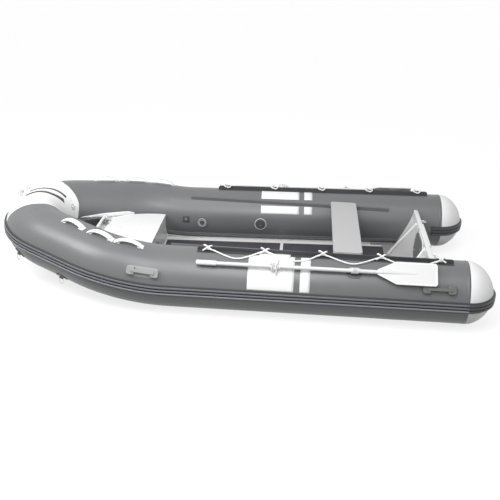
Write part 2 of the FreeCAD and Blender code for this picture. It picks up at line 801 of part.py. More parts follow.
def lid():
    plate = lid_face(0, -LID_OVERHANG).extrude(V(0, 0, -LID_THICKNESS))
    pan = lid_face(-LID_RIM, LID_RIM).extrude(V(0, 0, LID_SKIN - LID_THICKNESS))
    pan.translate(V(0, 0, -LID_SKIN))
    wide = 2 * STERN_HALF_SPREAD
    rib = LID_RIB / 2
    ribs = [box((LID_LENGTH - LID_RIB) / 2, (LID_LENGTH + LID_RIB) / 2, -wide, wide, -LID_THICKNESS, 0)]
    for place in hinge_places():
        ribs.append(box(0, LID_LENGTH, place.y - rib, place.y + rib, -LID_THICKNESS, 0))
    body = plate.cut(clear_of(pan, ribs))
    room = HINGE_RADIUS + HINGE_GAP + SEAT_GAP
    for place in hinge_places():
        for side in (-1, 1):
            y = place.y + side * (hinge_half() - HINGE_KNUCKLE / 2)
            half = HINGE_KNUCKLE / 2 + HINGE_GAP
            body = body.cut(box(LID_LENGTH - room, LID_LENGTH + room, y - half, y + half, -OVERRUN, OVERRUN))
        body = body.fuse(along_y(HINGE_RADIUS, place, HINGE_BARREL / 2))
        body = body.cut(along_y(HINGE_PIN_RADIUS + HINGE_PIN_CLEARANCE, place, HINGE_BARREL))
    return on_locker(body)


def lid_hinges():
    """The hinges' fixed halves: a leaf on the deck ahead of the lid, two knuckles and the pin."""
    whole = []
    start = HINGE_RADIUS + HINGE_GAP
    for place in hinge_places():
        half = hinge_half()
        leaf = box(LID_LENGTH + start, LID_LENGTH + start + HINGE_LEAF_LENGTH, place.y - half, place.y + half,
                   SEAT_GAP, SEAT_GAP + HINGE_LEAF)
        parts = [leaf, along_y(HINGE_PIN_RADIUS, place, half)]
        for side in (-1, 1):
            centre = place + V(0, side * (half - HINGE_KNUCKLE / 2), 0)
            parts.append(along_y(HINGE_RADIUS, centre, HINGE_KNUCKLE / 2))
            parts.append(box(LID_LENGTH, LID_LENGTH + start, centre.y - HINGE_KNUCKLE / 2,
                             centre.y + HINGE_KNUCKLE / 2, SEAT_GAP, SEAT_GAP + HINGE_LEAF))
        whole.append(on_locker(fused(parts)))
    return Part.makeCompound(whole)


def well_outline(grow, z):
    """The anchor well's outline on the locker's top, port corners first."""
    fore = LID_LENGTH + WELL_GAP
    x0, x1 = fore - grow, fore + WELL_LENGTH + grow
    half_aft = deck_side(fore) * WELL_AFT_SHARE
    half_fore = deck_side(fore + WELL_LENGTH) * WELL_FORE_SHARE
    return [V(x0, half_aft + grow, z), V(x1, half_fore + grow, z),
            V(x1, -half_fore - grow, z), V(x0, -half_aft - grow, z)]


def well_plug(grow, low, high):
    plug = prism(well_outline(grow, low), V(0, 0, high - low))
    return plug.makeFillet(WELL_CORNER + grow, upright_edges(plug, high - low, 0))


def locker(form, cutters):
    wide = STERN_HALF_SPREAD
    block = form.common(box(LOCKER_AFT, NOSE_X, -wide, wide, DECK_TOP, LOCKER_TOP_AFT + OVERRUN))
    top = on_locker(box(-OVERRUN, 2 * OVERRUN + OVERRUN, -2 * wide, 2 * wide, 0, 2 * OVERRUN))
    body = largest(clear_of(block, [top] + cutters))
    rebate = lid_face(LID_GAP, -OVERRUN).extrude(V(0, 0, -LID_THICKNESS - LID_SEAT_GAP))
    rebate = rebate.fuse(lid_face(LID_GAP, -OVERRUN).extrude(V(0, 0, OVERRUN)))
    opening = lid_face(-LID_LEDGE, LID_LEDGE).extrude(V(0, 0, -OVERRUN))
    x0 = LOCKER_AFT + LOCKER_WALL
    x1 = LID_FORE_X - LOCKER_WALL
    plan = [V(x, tube_side(x, tube_centre(x).z) - CAVITY_MARGIN, 0) for x in (x0, x1)]
    plan += [V(p.x, -p.y, 0) for p in reversed(plan)]
    low = DECK_TOP + LOCKER_FLOOR
    cavity = prism([V(p.x, p.y, low) for p in plan], V(0, 0, OVERRUN))
    under = on_locker(box(-OVERRUN, 2 * OVERRUN, -wide, wide, -LID_THICKNESS - LOCKER_WALL, OVERRUN))
    cavity = cavity.cut(under)
    drop = on_locker(opening).common(box(x0, x1, -wide, wide, low, LOCKER_TOP_AFT + OVERRUN))
    body = body.cut(on_locker(rebate)).cut(cavity).cut(drop)
    half_beam = deck_side(LID_LENGTH) - LID_FORE_MARGIN
    beam_x = LID_LENGTH + BEAM_GAP
    beam = box(beam_x, beam_x + BEAM_WIDTH, -half_beam, half_beam, -BEAM_HEIGHT, BEAM_HEIGHT)
    body = body.fuse([on_locker(beam), on_locker(well_plug(COAMING_WIDTH, -COAMING_HEIGHT, COAMING_HEIGHT))])
    body = body.cut(on_locker(well_plug(0, -WELL_DEPTH, OVERRUN)))
    channel = HINGE_RADIUS + HINGE_GAP + SEAT_GAP
    for place in hinge_places():
        body = body.cut(on_locker(along_y(channel, place, hinge_half() + HINGE_GAP)))
    add("bow_locker", largest(body))
    add("locker_lid", lid())
    add("lid_hinges", lid_hinges())
    latch = Part.makeCylinder(LATCH_RADIUS, LATCH_THICKNESS, V(LOCKER_AFT, 0, LATCH_Z), V(-1, 0, 0))
    half = LATCH_THICKNESS / 2
    turn = box(LOCKER_AFT - LATCH_THICKNESS - LATCH_TURN, LOCKER_AFT, -half, half,
               LATCH_Z - LATCH_RADIUS + half, LATCH_Z + LATCH_RADIUS - half)
    add("locker_latch", fused([latch, turn]))


def rail_top(x):
    """The rail's top, a little above the tube where the rail crosses it."""
    centre = tube_centre(x)
    inboard = centre.y - RAIL_Y
    return centre.z + math.sqrt(TUBE_RADIUS ** 2 - inboard ** 2) + RAIL_RISE


def along_rail(shape):
    rise = rail_top(RAIL_AFT_X + RAIL_LENGTH) - rail_top(RAIL_AFT_X)
    slope = FreeCAD.Rotation(V(0, 1, 0), -math.degrees(math.atan2(rise, RAIL_LENGTH)))
    out = shape.copy()
    out.Placement = FreeCAD.Placement(V(RAIL_AFT_X, 0, rail_top(RAIL_AFT_X)), slope).multiply(out.Placement)
    return out


def seat_and_rails(cutter):
    half = RAIL_WIDTH / 2
    bar = box(0, RAIL_LENGTH, RAIL_Y - half, RAIL_Y + half, -RAIL_DEPTH, 0)
    tops = [e for e in bar.Edges if e.BoundBox.ZMin > -half and e.BoundBox.XLength > half]
    bar = along_rail(bar.makeFillet(RAIL_EDGE, tops))
    pieces = bar.cut(cutter).Solids
    both_sides("seat_rail", max(pieces, key=lambda s: s.CenterOfMass.z))
    x0 = SEAT_X - SEAT_WIDTH / 2 - RAIL_AFT_X
    x1 = x0 + SEAT_WIDTH
    low = SEAT_GAP
    high = low + SEAT_THICKNESS
    plank = rounded_plate(x0, x1, SEAT_HALF, low, high, SEAT_CORNER)
    plank = plank.makeFillet(SEAT_EDGE, [e for e in plank.Edges if e.BoundBox.ZMin > high - SEAT_EDGE])
    inner = RAIL_Y - half - SEAT_LIP_GAP
    lips = [box(x0, x1, inner - SEAT_LIP_WIDTH, inner, low - SEAT_LIP_DROP, low + SEAT_LIP_DROP)]
    lips.append(mirrored(lips[0]))
    add("bench_seat", along_rail(fused([plank] + lips)))


def lacing(cutter):
    length = LACING_FORE_S - LACING_AFT_S
    half = LACING_THICKNESS / 2
    top = TUBE_RADIUS + LACING_HEIGHT
    root = TUBE_RADIUS - LACING_BASE_WIDTH / 2
    fin = prism(
        [
            V(0, -half, root),
            V(length, -half, root),
            V(length, -half, top - LACING_END_SLANT),
            V(length - LACING_END_SLANT, -half, top),
            V(LACING_END_SLANT, -half, top),
            V(0, -half, top - LACING_END_SLANT),
        ],
        V(0, LACING_THICKNESS, 0),
    )
    base = Part.makeCylinder(TUBE_RADIUS + LACING_BASE, length, V(0, 0, 0), V(1, 0, 0))
    wide = LACING_BASE_WIDTH / 2
    base = base.common(box(0, length, -wide, wide, 0, top))
    holes = []
    for i in range(EYELET_COUNT):
        x = EYELET_FIRST_S + i * EYELET_PITCH - LACING_AFT_S
        centre = V(x, -LACING_BASE_WIDTH, TUBE_RADIUS + EYELET_HEIGHT)
        holes.append(Part.makeCylinder(EYELET_RADIUS, 2 * LACING_BASE_WIDTH, centre, V(0, 1, 0)))
    strip = fused([fin, base]).cut(Part.makeCompound(holes))
    both_sides("lacing_strip", on_tube(strip, LACING_AFT_S, LACING_DEGREES).cut(cutter))


def oar():
    """The port oar and its rowlock, drawn along the tube with the pin at the origin of length."""
    level = TUBE_RADIUS + OAR_STANDOFF
    shaft = Part.makeCylinder(
        OAR_SHAFT_RADIUS, OAR_FORE_LENGTH - OAR_GRIP_LENGTH + OAR_AFT_LENGTH - BLADE_LENGTH,
        V(BLADE_LENGTH - OAR_AFT_LENGTH, 0, level), V(1, 0, 0),
    )
    collar = Part.makeCylinder(COLLAR_RADIUS, COLLAR_LENGTH, V(-COLLAR_LENGTH / 2, 0, level), V(1, 0, 0))
    bore = Part.makeCylinder(PIN_RADIUS + PIN_CLEARANCE, 2 * OAR_STANDOFF, V(0, 0, level - OAR_STANDOFF))
    both_sides("oar_shaft", on_tube(fused([shaft, collar]).cut(bore), OAR_PIN_S, OAR_PIN_DEGREES))
    grip = Part.makeCylinder(
        OAR_GRIP_RADIUS, OAR_GRIP_LENGTH, V(OAR_FORE_LENGTH - OAR_GRIP_LENGTH, 0, level), V(1, 0, 0)
    )
    grip = grip.makeFillet(OAR_GRIP_RADIUS / 3, grip.Edges)
    pitch = OAR_GRIP_LENGTH / (OAR_GRIP_RINGS + 1)
    for i in range(OAR_GRIP_RINGS):
        x = OAR_FORE_LENGTH - OAR_GRIP_LENGTH + (i + 1) * pitch
        groove = Part.makeTorus(OAR_GRIP_RADIUS + OAR_GRIP_GROOVE, 2 * OAR_GRIP_GROOVE, V(x, 0, level), V(1, 0, 0))
        grip = grip.cut(groove)
    both_sides("oar_grip", on_tube(grip, OAR_PIN_S, OAR_PIN_DEGREES))
    both_sides("oar_blade", on_tube(blade(level), OAR_PIN_S, OAR_PIN_DEGREES))
    top = level + COLLAR_RADIUS + ROWLOCK_GAP
    under = level - COLLAR_RADIUS - ROWLOCK_GAP
    boss = Part.makeCylinder(ROWLOCK_BOSS_RADIUS, under - TUBE_RADIUS + RING_PATCH_RADIUS,
                             V(0, 0, TUBE_RADIUS - RING_PATCH_RADIUS))
    pin = Part.makeCylinder(PIN_RADIUS, top - under, V(0, 0, under))
    head = Part.makeCylinder(PIN_HEAD_RADIUS, PIN_HEAD, V(0, 0, top))
    pad = rounded_plate(-ROWLOCK_PAD_LENGTH / 2, ROWLOCK_PAD_LENGTH / 2, ROWLOCK_PAD_WIDTH / 2,
                        TUBE_RADIUS - RING_PATCH_RADIUS, TUBE_RADIUS + RING_PATCH_RADIUS, HANDLE_PAD_CORNER)
    outer = Part.makeCylinder(TUBE_RADIUS + ROWLOCK_PAD, ROWLOCK_PAD_LENGTH * 2,
                              V(-ROWLOCK_PAD_LENGTH, 0, 0), V(1, 0, 0))
    inner = Part.makeCylinder(TUBE_RADIUS + SEAT_GAP, ROWLOCK_PAD_LENGTH * 2,
                              V(-ROWLOCK_PAD_LENGTH, 0, 0), V(1, 0, 0))
    whole = fused([pad.common(outer), boss, pin, head]).cut(inner)
    both_sides("rowlock", on_tube(whole, OAR_PIN_S, OAR_PIN_DEGREES))


def blade(level):
    """The oar's blade with its socket, pointing aft."""
    socket_x = BLADE_LENGTH - OAR_AFT_LENGTH
    tip = -OAR_AFT_LENGTH
    shoulder = socket_x - BLADE_TAPER
    half = BLADE_WIDTH / 2
    low = level - BLADE_THICKNESS / 2
    outline = [
        V(socket_x, BLADE_NECK_RADIUS, low),
        V(shoulder, half, low),
        V(tip, half, low),
        V(tip, -half, low),
        V(shoulder, -half, low),
        V(socket_x, -BLADE_NECK_RADIUS, low),
    ]
    plate = prism(outline, V(0, 0, BLADE_THICKNESS))
    corners = [
        e for e in plate.Edges
        if abs(e.Vertexes[0].Z - e.Vertexes[-1].Z) > BLADE_THICKNESS / 2 and e.Vertexes[0].X < socket_x
    ]
    plate = plate.makeFillet(BLADE_CORNER, corners)
    socket = Part.makeCone(OAR_SHAFT_RADIUS / 2, BLADE_NECK_RADIUS, BLADE_SPINE,
                           V(socket_x - BLADE_SPINE, 0, level), V(1, 0, 0))
    return fused([plate, socket])


def rolled(point, degrees):
    return rotated(point, V(1, 0, 0), -degrees)


def sector(degrees, width, thickness, rise=SEAT_GAP):
    """A strip of the tube's section at an angle from its top, drawn at the stern ring."""
    half = math.degrees(width / 2 / TUBE_RADIUS)
    low = V(0, 0, TUBE_RADIUS + rise)
    high = V(0, 0, TUBE_RADIUS + thickness)
    inner = [rolled(low, degrees + turn) for turn in (-half, 0, half)]
    outer = [rolled(high, degrees + turn) for turn in (half, 0, -half)]
    edges = [
        Part.Arc(*inner).toShape(),
        Part.makeLine(inner[2], outer[0]),
        Part.Arc(*outer).toShape(),
        Part.makeLine(outer[2], inner[0]),
    ]
    return Part.Face(Part.Wire(edges))


def patch(station, degrees, length, width, thickness):
    """A patch that lies on the tube."""
    return swept(sector(degrees, width, thickness), station - length / 2, station + length / 2)


def rounded_patch(station, degrees, length, width, thickness, corner):
    deep = TUBE_RADIUS / 3
    block = rounded_plate(-length / 2, length / 2, width / 2, TUBE_RADIUS - deep, TUBE_RADIUS + deep, corner)
    return largest(on_tube(block, station, degrees).common(patch(station, degrees, length, width, thickness)))


def core(station, length):
    """The tube itself near a station, with the seat's clearance."""
    return swept(disc(TUBE_RADIUS + SEAT_GAP), station - length, station + length)


def arch(length, rise, thickness, width, foot):
    """A band that leaves the tube, rises and comes back to it, drawn on the tube's top."""
    base = TUBE_RADIUS - rise
    a, m, b = V(-length / 2, 0, TUBE_RADIUS), V(0, 0, TUBE_RADIUS + rise), V(length / 2, 0, TUBE_RADIUS)
    outer = Part.Arc(a, m, b).toShape()
    inner = Part.Arc(
        V(b.x - foot, 0, b.z), V(0, 0, m.z - thickness), V(a.x + foot, 0, a.z)
    ).toShape()
    ends = [Part.makeLine(b, V(b.x, 0, base)), Part.makeLine(V(b.x, 0, base), V(b.x - foot, 0, base))]
    ends += [Part.makeLine(V(b.x - foot, 0, base), V(b.x - foot, 0, b.z))]
    far = [Part.makeLine(V(a.x + foot, 0, a.z), V(a.x + foot, 0, base))]
    far += [Part.makeLine(V(a.x + foot, 0, base), V(a.x, 0, base)), Part.makeLine(V(a.x, 0, base), a)]
    face = Part.Face(Part.Wire([outer] + ends + [inner] + far))
    band = face.extrude(V(0, width, 0))
    band.translate(V(0, -width / 2, 0))
    return band


def handle(station, degrees):
    """A moulded carry handle: a base, two end blocks and a bar between them."""
    pad = rounded_patch(station, degrees, HANDLE_PAD_LENGTH, HANDLE_PAD_WIDTH, HANDLE_PAD, HANDLE_PAD_CORNER)
    bar_top = TUBE_RADIUS + HANDLE_RISE
    half = HANDLE_BAR / 2
    bar = box(-HANDLE_BLOCK_PLACE, HANDLE_BLOCK_PLACE, -half, half, bar_top - HANDLE_BAR_THICKNESS, bar_top)
    bar = bar.makeFillet(HANDLE_BAR_EDGE, bar.Edges)
    parts = [pad, on_tube(bar, station, degrees)]
    for side in (-1, 1):
        top = TUBE_RADIUS + HANDLE_BLOCK
        reach = HANDLE_BLOCK_LENGTH / 2
        block = rounded_plate(-reach, reach, HANDLE_BLOCK_WIDTH / 2, TUBE_RADIUS - reach, top, HANDLE_BLOCK_CORNER)
        edges = [e for e in block.Edges if e.BoundBox.ZMin > top - HANDLE_BLOCK_EDGE]
        block = block.makeFillet(HANDLE_BLOCK_EDGE, edges)
        block.translate(V(side * HANDLE_BLOCK_PLACE, 0, 0))
        parts.append(on_tube(block, station, degrees).cut(core(station, HANDLE_PAD_LENGTH)))
    return fused(parts)


def bow_handle():
    """The handle round the nose, the same in kind, bent to the nose's turn."""
    stretch = (PATH.nose_radius + TUBE_RADIUS * math.sin(math.radians(BOW_HANDLE_DEGREES))) / PATH.nose_radius
    middle = PATH.length - HANDLE_BLOCK_PLACE / stretch
    reach = HANDLE_BLOCK_LENGTH / 2 / stretch
    pad_start = PATH.length - HANDLE_PAD_LENGTH / 2 / stretch
    under = HANDLE_RISE - HANDLE_BAR_THICKNESS
    parts = [
        swept(sector(BOW_HANDLE_DEGREES, HANDLE_PAD_WIDTH, HANDLE_PAD), pad_start, PATH.length),
        swept(sector(BOW_HANDLE_DEGREES, HANDLE_BLOCK_WIDTH, HANDLE_BLOCK), middle - reach, middle + reach),
        swept(sector(BOW_HANDLE_DEGREES, HANDLE_BAR, HANDLE_RISE, under), middle, PATH.length),
    ]
    half = fused(parts)
    return fused([half, mirrored(half)])


def handles():
    stations = (HANDLE_AFT_S, PATH.length - HANDLE_FROM_NOSE)
    both_sides("carry_handles", Part.makeCompound([handle(s, HANDLE_DEGREES) for s in stations]))
    add("bow_handle", bow_handle())


def straps():
    whole = []
    for station in [PATH.length - back for back in STRAP_FROM_NOSE]:
        band = arch(STRAP_LENGTH, STRAP_RISE, STRAP_THICKNESS, STRAP_WIDTH, STRAP_THICKNESS)
        band = on_tube(band, station, STRAP_DEGREES).cut(core(station, STRAP_LENGTH))
        ends = [station + side * (STRAP_LENGTH - STRAP_FOOT) / 2 for side in (-1, 1)]
        feet = [patch(end, STRAP_DEGREES, STRAP_FOOT, STRAP_WIDTH, STRAP_FOOT_THICKNESS) for end in ends]
        whole.append(fused([band] + feet))
    both_sides("grab_straps", Part.makeCompound(whole))


def upright(radius, low, high):
    """A round plug standing on the tube's top, between two heights above the tube."""
    return Part.makeCylinder(radius, high - low, V(0, 0, TUBE_RADIUS + low))


def valves():
    whole = []
    for station in VALVE_S:
        body = upright(VALVE_RADIUS, -VALVE_RADIUS, VALVE_RIM)
        body = body.cut(upright(VALVE_RADIUS - VALVE_RIM_WIDTH, VALVE_FLANGE, VALVE_RADIUS))
        body = body.fuse(upright(VALVE_CAP_RADIUS, 0, VALVE_FLANGE + VALVE_CAP))
        body = on_tube(body, station, VALVE_DEGREES).cut(core(station, 2 * VALVE_RADIUS))
        whole += [largest(body), mirrored(largest(body))]
    plate = rounded_patch(VENT_S, VENT_DEGREES, VENT_SIDE, VENT_SIDE, VENT_THICKNESS, VENT_CORNER)
    button = upright(VENT_BUTTON_RADIUS, VENT_THICKNESS / 2, VENT_THICKNESS + VENT_BUTTON)
    vent = fused([plate, on_tube(button, VENT_S, VENT_DEGREES)])
    add("air_valves", Part.makeCompound(whole + [vent, mirrored(vent)]))


def loop(foot, side, reach, leg, radius, wire):
    """A half ring on two legs: its middle foot, the way to one leg, the way it reaches, and its sizes."""
    centre = foot + reach * leg
    ring = Part.Face(Part.Wire(Part.makeCircle(wire, centre + side * radius, reach)))
    parts = [ring.revolve(centre, side.cross(reach), 180.0)]
    for way in (side, side * -1):
        parts.append(Part.makeCylinder(wire, leg, foot + way * radius, reach))
    return parts


def rings():
    """The tow rings under the strake, each held by a tab on its patch."""
    patches = []
    whole = []
    axis = RING_PATCH + RING_TAB_RADIUS - RING_WIRE
    for back, degrees in zip(RING_FROM_NOSE, RING_DEGREES):
        station = PATH.length - back
        base = rounded_patch(station, degrees, 2 * RING_PATCH_RADIUS, 2 * RING_PATCH_RADIUS, RING_PATCH,
                             RING_PATCH_RADIUS - SEAT_GAP)
        half = RING_TAB_LENGTH / 2
        centre = V(0, 0, TUBE_RADIUS + axis)
        tab = Part.makeCylinder(RING_TAB_RADIUS, RING_TAB_LENGTH, V(-half, 0, centre.z), V(1, 0, 0))
        foot = box(-half, half, -RING_TAB_RADIUS, RING_TAB_RADIUS, TUBE_RADIUS + RING_PATCH / 2, centre.z)
        bore = Part.makeCylinder(RING_WIRE + SEAT_GAP, 2 * RING_TAB_LENGTH, V(-RING_TAB_LENGTH, 0, centre.z),
                                 V(1, 0, 0))
        tab = tab.fuse(foot).cut(bore)
        patches.append(fused([base, on_tube(tab, station, degrees)]).cut(on_tube(bore, station, degrees)))
        hang = V(0, math.sin(math.radians(degrees)), -math.cos(math.radians(degrees)))
        parts = loop(centre, V(1, 0, 0), hang, RING_LEG, RING_RADIUS, RING_WIRE)
        bar = Part.makeCylinder(RING_WIRE, 2 * RING_RADIUS, centre - V(RING_RADIUS, 0, 0), V(1, 0, 0))
        corners = [Part.makeSphere(RING_WIRE, centre + V(x, 0, 0)) for x in (-RING_RADIUS, RING_RADIUS)]
        whole.append(on_tube(fused(parts + [bar] + corners), station, degrees))
    add("tow_ring_patches", Part.makeCompound(patches + [mirrored(s) for s in patches]))
    add("tow_rings", Part.makeCompound(whole + [mirrored(s) for s in whole]))


def footed(foot, side, reach, leg, radius):
    """A wire eye whose two legs stand on small round feet."""
    parts = loop(foot, side, reach, leg, radius, EYE_WIRE)
    for way in (side, side * -1):
        parts.append(Part.makeCylinder(EYE_FOOT_RADIUS, EYE_FOOT, foot + way * radius, reach))
    return fused(parts)


def mooring_eyes():
    """The stern's two eyes, the anchor line's eye by the well and the tie ring inside the bow."""
    z = TRANSOM_TOP - STERN_EYE_DROP
    y = MOTOR_PAD_WIDTH / 2 + CLAMP_LAND_MARGIN + STERN_EYE_GAP
    stern = on_transom(footed(V(0, y, z), V(0, 1, 0), V(-1, 0, 0), STERN_EYE_LEG, STERN_EYE_RADIUS))
    line_x = LID_LENGTH + LINE_EYE_PLACE
    line = footed(V(line_x, -deck_side(line_x) * LINE_EYE_SHARE, 0), V(1, 0, 0), V(0, 0, 1), LINE_EYE_LEG,
                  LINE_EYE_RADIUS)
    station = PATH.length - TIE_RING_FROM_NOSE
    base = rounded_patch(station, TIE_RING_DEGREES, 2 * TIE_PATCH_RADIUS, 2 * TIE_PATCH_RADIUS, TIE_PATCH,
                         TIE_PATCH_RADIUS - SEAT_GAP)
    eye = loop(V(0, 0, TUBE_RADIUS + TIE_PATCH / 2), V(1, 0, 0), V(0, 0, 1), EYE_WIRE, TIE_RING_RADIUS, EYE_WIRE)
    tie = fused([base] + [on_tube(part, station, TIE_RING_DEGREES) for part in eye])
    add("mooring_eyes", Part.makeCompound([stern, mirrored(stern), on_locker(line), mirrored(tie)]))


def cord(points, diameter):
    """A tube along straight runs joined by tangent arcs."""
    edges = []
    last = points[0]
    radii = []
    for before, corner, after in zip(points, points[1:], points[2:]):
        into = corner - before
        out = after - corner
        short = min(into.Length, out.Length)
        half_turn = into.getAngle(out) / 2
        radius = 0.45 * short / math.tan(half_turn)
        radii.append(radius)
        into.normalize()
        out.normalize()
        reach = radius * math.tan(half_turn)
        a = corner - into * reach
        b = corner + out * reach
        towards = out - into
        towards.normalize()
        centre = corner + towards * (radius / math.cos(half_turn))
        middle = centre - towards * radius
        edges.append(Part.makeLine(last, a))
        edges.append(Part.Arc(a, middle, b).toShape())
        last = b
    edges.append(Part.makeLine(last, points[-1]))
    start = points[1] - points[0]
    ring = Part.Face(Part.Wire(Part.makeCircle(diameter / 2, points[0], start)))
    tube = Part.Wire(edges).makePipe(ring)
    print("cord radii", round(min(radii), 1), "length", round(sum(e.Length for e in edges), 1),
          "volume share", round(tube.Volume / (math.pi * diameter ** 2 / 4 * sum(e.Length for e in edges)), 4))
    return tube


def lifelines():
    points = [tube_point(station, degrees, TUBE_RADIUS + rise) for station, degrees, rise in LIFELINE_ROUTE]
    tube = cord(points, ROPE_DIAMETER)
    both_sides("lifeline", tube.Solids[0] if tube.Solids else tube)


def build_all():
    cutter = tube_cutter()
    cutters = [cutter, mirrored(cutter)]
    form = hull_form()
    tubes()
    strakes()
    bottom(form, cutters)
    transom(cutters)
    both_sides("transom_knee", knee(cutters))
    locker(form, cutters)
    seat_and_rails(cutter)
    lacing(cutter)
    oar()
    handles()
    straps()
    valves()
    rings()
    mooring_eyes()
    lifelines()


if __name__ == "__main__":
    os.makedirs("parts", exist_ok=True)
    build_all()
    for name, shape in NODES.items():
        print(name, len(shape.Solids), round(shape.Volume / 1e6, 3), shape.isValid())
        shape.exportStep("parts/" + name + ".step")
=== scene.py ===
"""Finishes, patches, seams, ropes and small fittings of a rigid inflatable boat, built round its frame."""

import json
import math

import bpy
from bpy.props import FloatProperty, FloatVectorProperty
from mathutils import Matrix, Vector
from mathutils.bvhtree import BVHTree


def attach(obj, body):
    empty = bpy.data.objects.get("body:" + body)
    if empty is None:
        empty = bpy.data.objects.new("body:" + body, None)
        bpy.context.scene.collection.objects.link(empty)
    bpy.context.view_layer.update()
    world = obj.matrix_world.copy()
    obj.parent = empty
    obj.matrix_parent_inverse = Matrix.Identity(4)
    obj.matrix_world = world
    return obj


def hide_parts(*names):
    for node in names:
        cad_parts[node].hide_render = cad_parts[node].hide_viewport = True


bl_info = {
    "name": "Inflatable Boat Maker",
    "version": (1, 1, 0),
    "blender": (4, 5, 0),
    "location": "View3D > Sidebar > Boat",
    "description": "Finishes, patches and ropes for a small rigid inflatable boat",
    "category": "Object",
}

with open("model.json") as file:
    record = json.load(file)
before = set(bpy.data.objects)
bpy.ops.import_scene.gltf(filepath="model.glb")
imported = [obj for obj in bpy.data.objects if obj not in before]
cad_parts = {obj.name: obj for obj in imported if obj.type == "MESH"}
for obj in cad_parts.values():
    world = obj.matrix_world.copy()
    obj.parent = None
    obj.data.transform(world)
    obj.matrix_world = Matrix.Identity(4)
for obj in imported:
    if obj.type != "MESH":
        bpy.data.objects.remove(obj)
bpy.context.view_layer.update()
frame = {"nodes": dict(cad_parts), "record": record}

# The air tube, in metres
TUBE_RADIUS = 0.210
TUBE_HEIGHT = 0.225
STERN_RING_X = -1.560
STERN_HALF_SPREAD = 0.670
TOE_IN = math.radians(1.43)
MAIN_RUN = 1.993
SHEER_RADIUS = 1.414
SHEER = math.radians(8.14)
SHOULDER_RADIUS = 0.873
SHOULDER = math.radians(26.2)
SHOULDER_RUN = 0.368
PORT = 1
STARBOARD = -1
SIDES = ((PORT, "port"), (STARBOARD, "starboard"))

# The camera that the photograph was taken with
CAMERA_PLACE = (-0.460, 5.497, 2.537)
CAMERA_YAW = 0.070
CAMERA_PITCH = -0.405
CAMERA_ROLL = 0.016
FOCAL_PIXELS = 792.0
PICTURE_PIXELS = 500
SENSOR_MM = 36.0
CAMERA_REACH = 200.0

# The lifeline's route along the port tube: station, angle from the tube's top, and rise above the tube
ROPE_DIAMETER = 0.0118
ROPE_ROUTE = (
    (1.743, 6, 0.017), (1.703, 6, 0.017), (1.618, 18, 0.009), (1.524, 28, 0.008), (1.436, 19, 0.009),
    (1.359, 6, 0.017), (1.319, 6, 0.017), (1.238, 17, 0.009), (1.138, 26, 0.008), (1.042, 20, 0.009),
    (0.975, 6, 0.017), (0.935, 6, 0.017), (0.852, 16.5, 0.009), (0.758, 26, 0.008), (0.668, 17, 0.009),
    (0.591, 6, 0.017), (0.551, 6, 0.017), (0.470, 17, 0.009), (0.376, 27, 0.008), (0.284, 18, 0.009),
    (0.207, 6, 0.017), (0.167, 6, 0.017),
)
EYELET_STATIONS = (0.187, 0.571, 0.955, 1.339, 1.723)

# Half of a hitch at an eyelet: along the tube from the eyelet, angle from the top, rise
HITCH = (
    (-0.034, 9.6, 0.011), (-0.020, 8.2, 0.017), (-0.004, 6.6, 0.026), (0.013, 5.4, 0.036),
    (0.027, 3.2, 0.037), (0.025, 1.4, 0.024), (0.010, 1.2, 0.016), (0.0, 2.6, 0.016),
)
HITCH_OVER = 0.004

# The bow locker's sloping top
LOCKER_AFT = 0.640
LOCKER_TOP_AFT = 0.287
LOCKER_SLOPE = math.radians(3.4)

# The oar on the port tube: the pin's place, then lengths from the pin
OAR_STATION = 0.745
OAR_DEGREES = 41.0
OAR_STANDOFF = 0.034
SHAFT_RADIUS = 0.013
BLADE_TIP = -0.528
BLADE_NECK = -0.146
BLADE_TAPER = 0.121
BLADE_HALF = 0.080


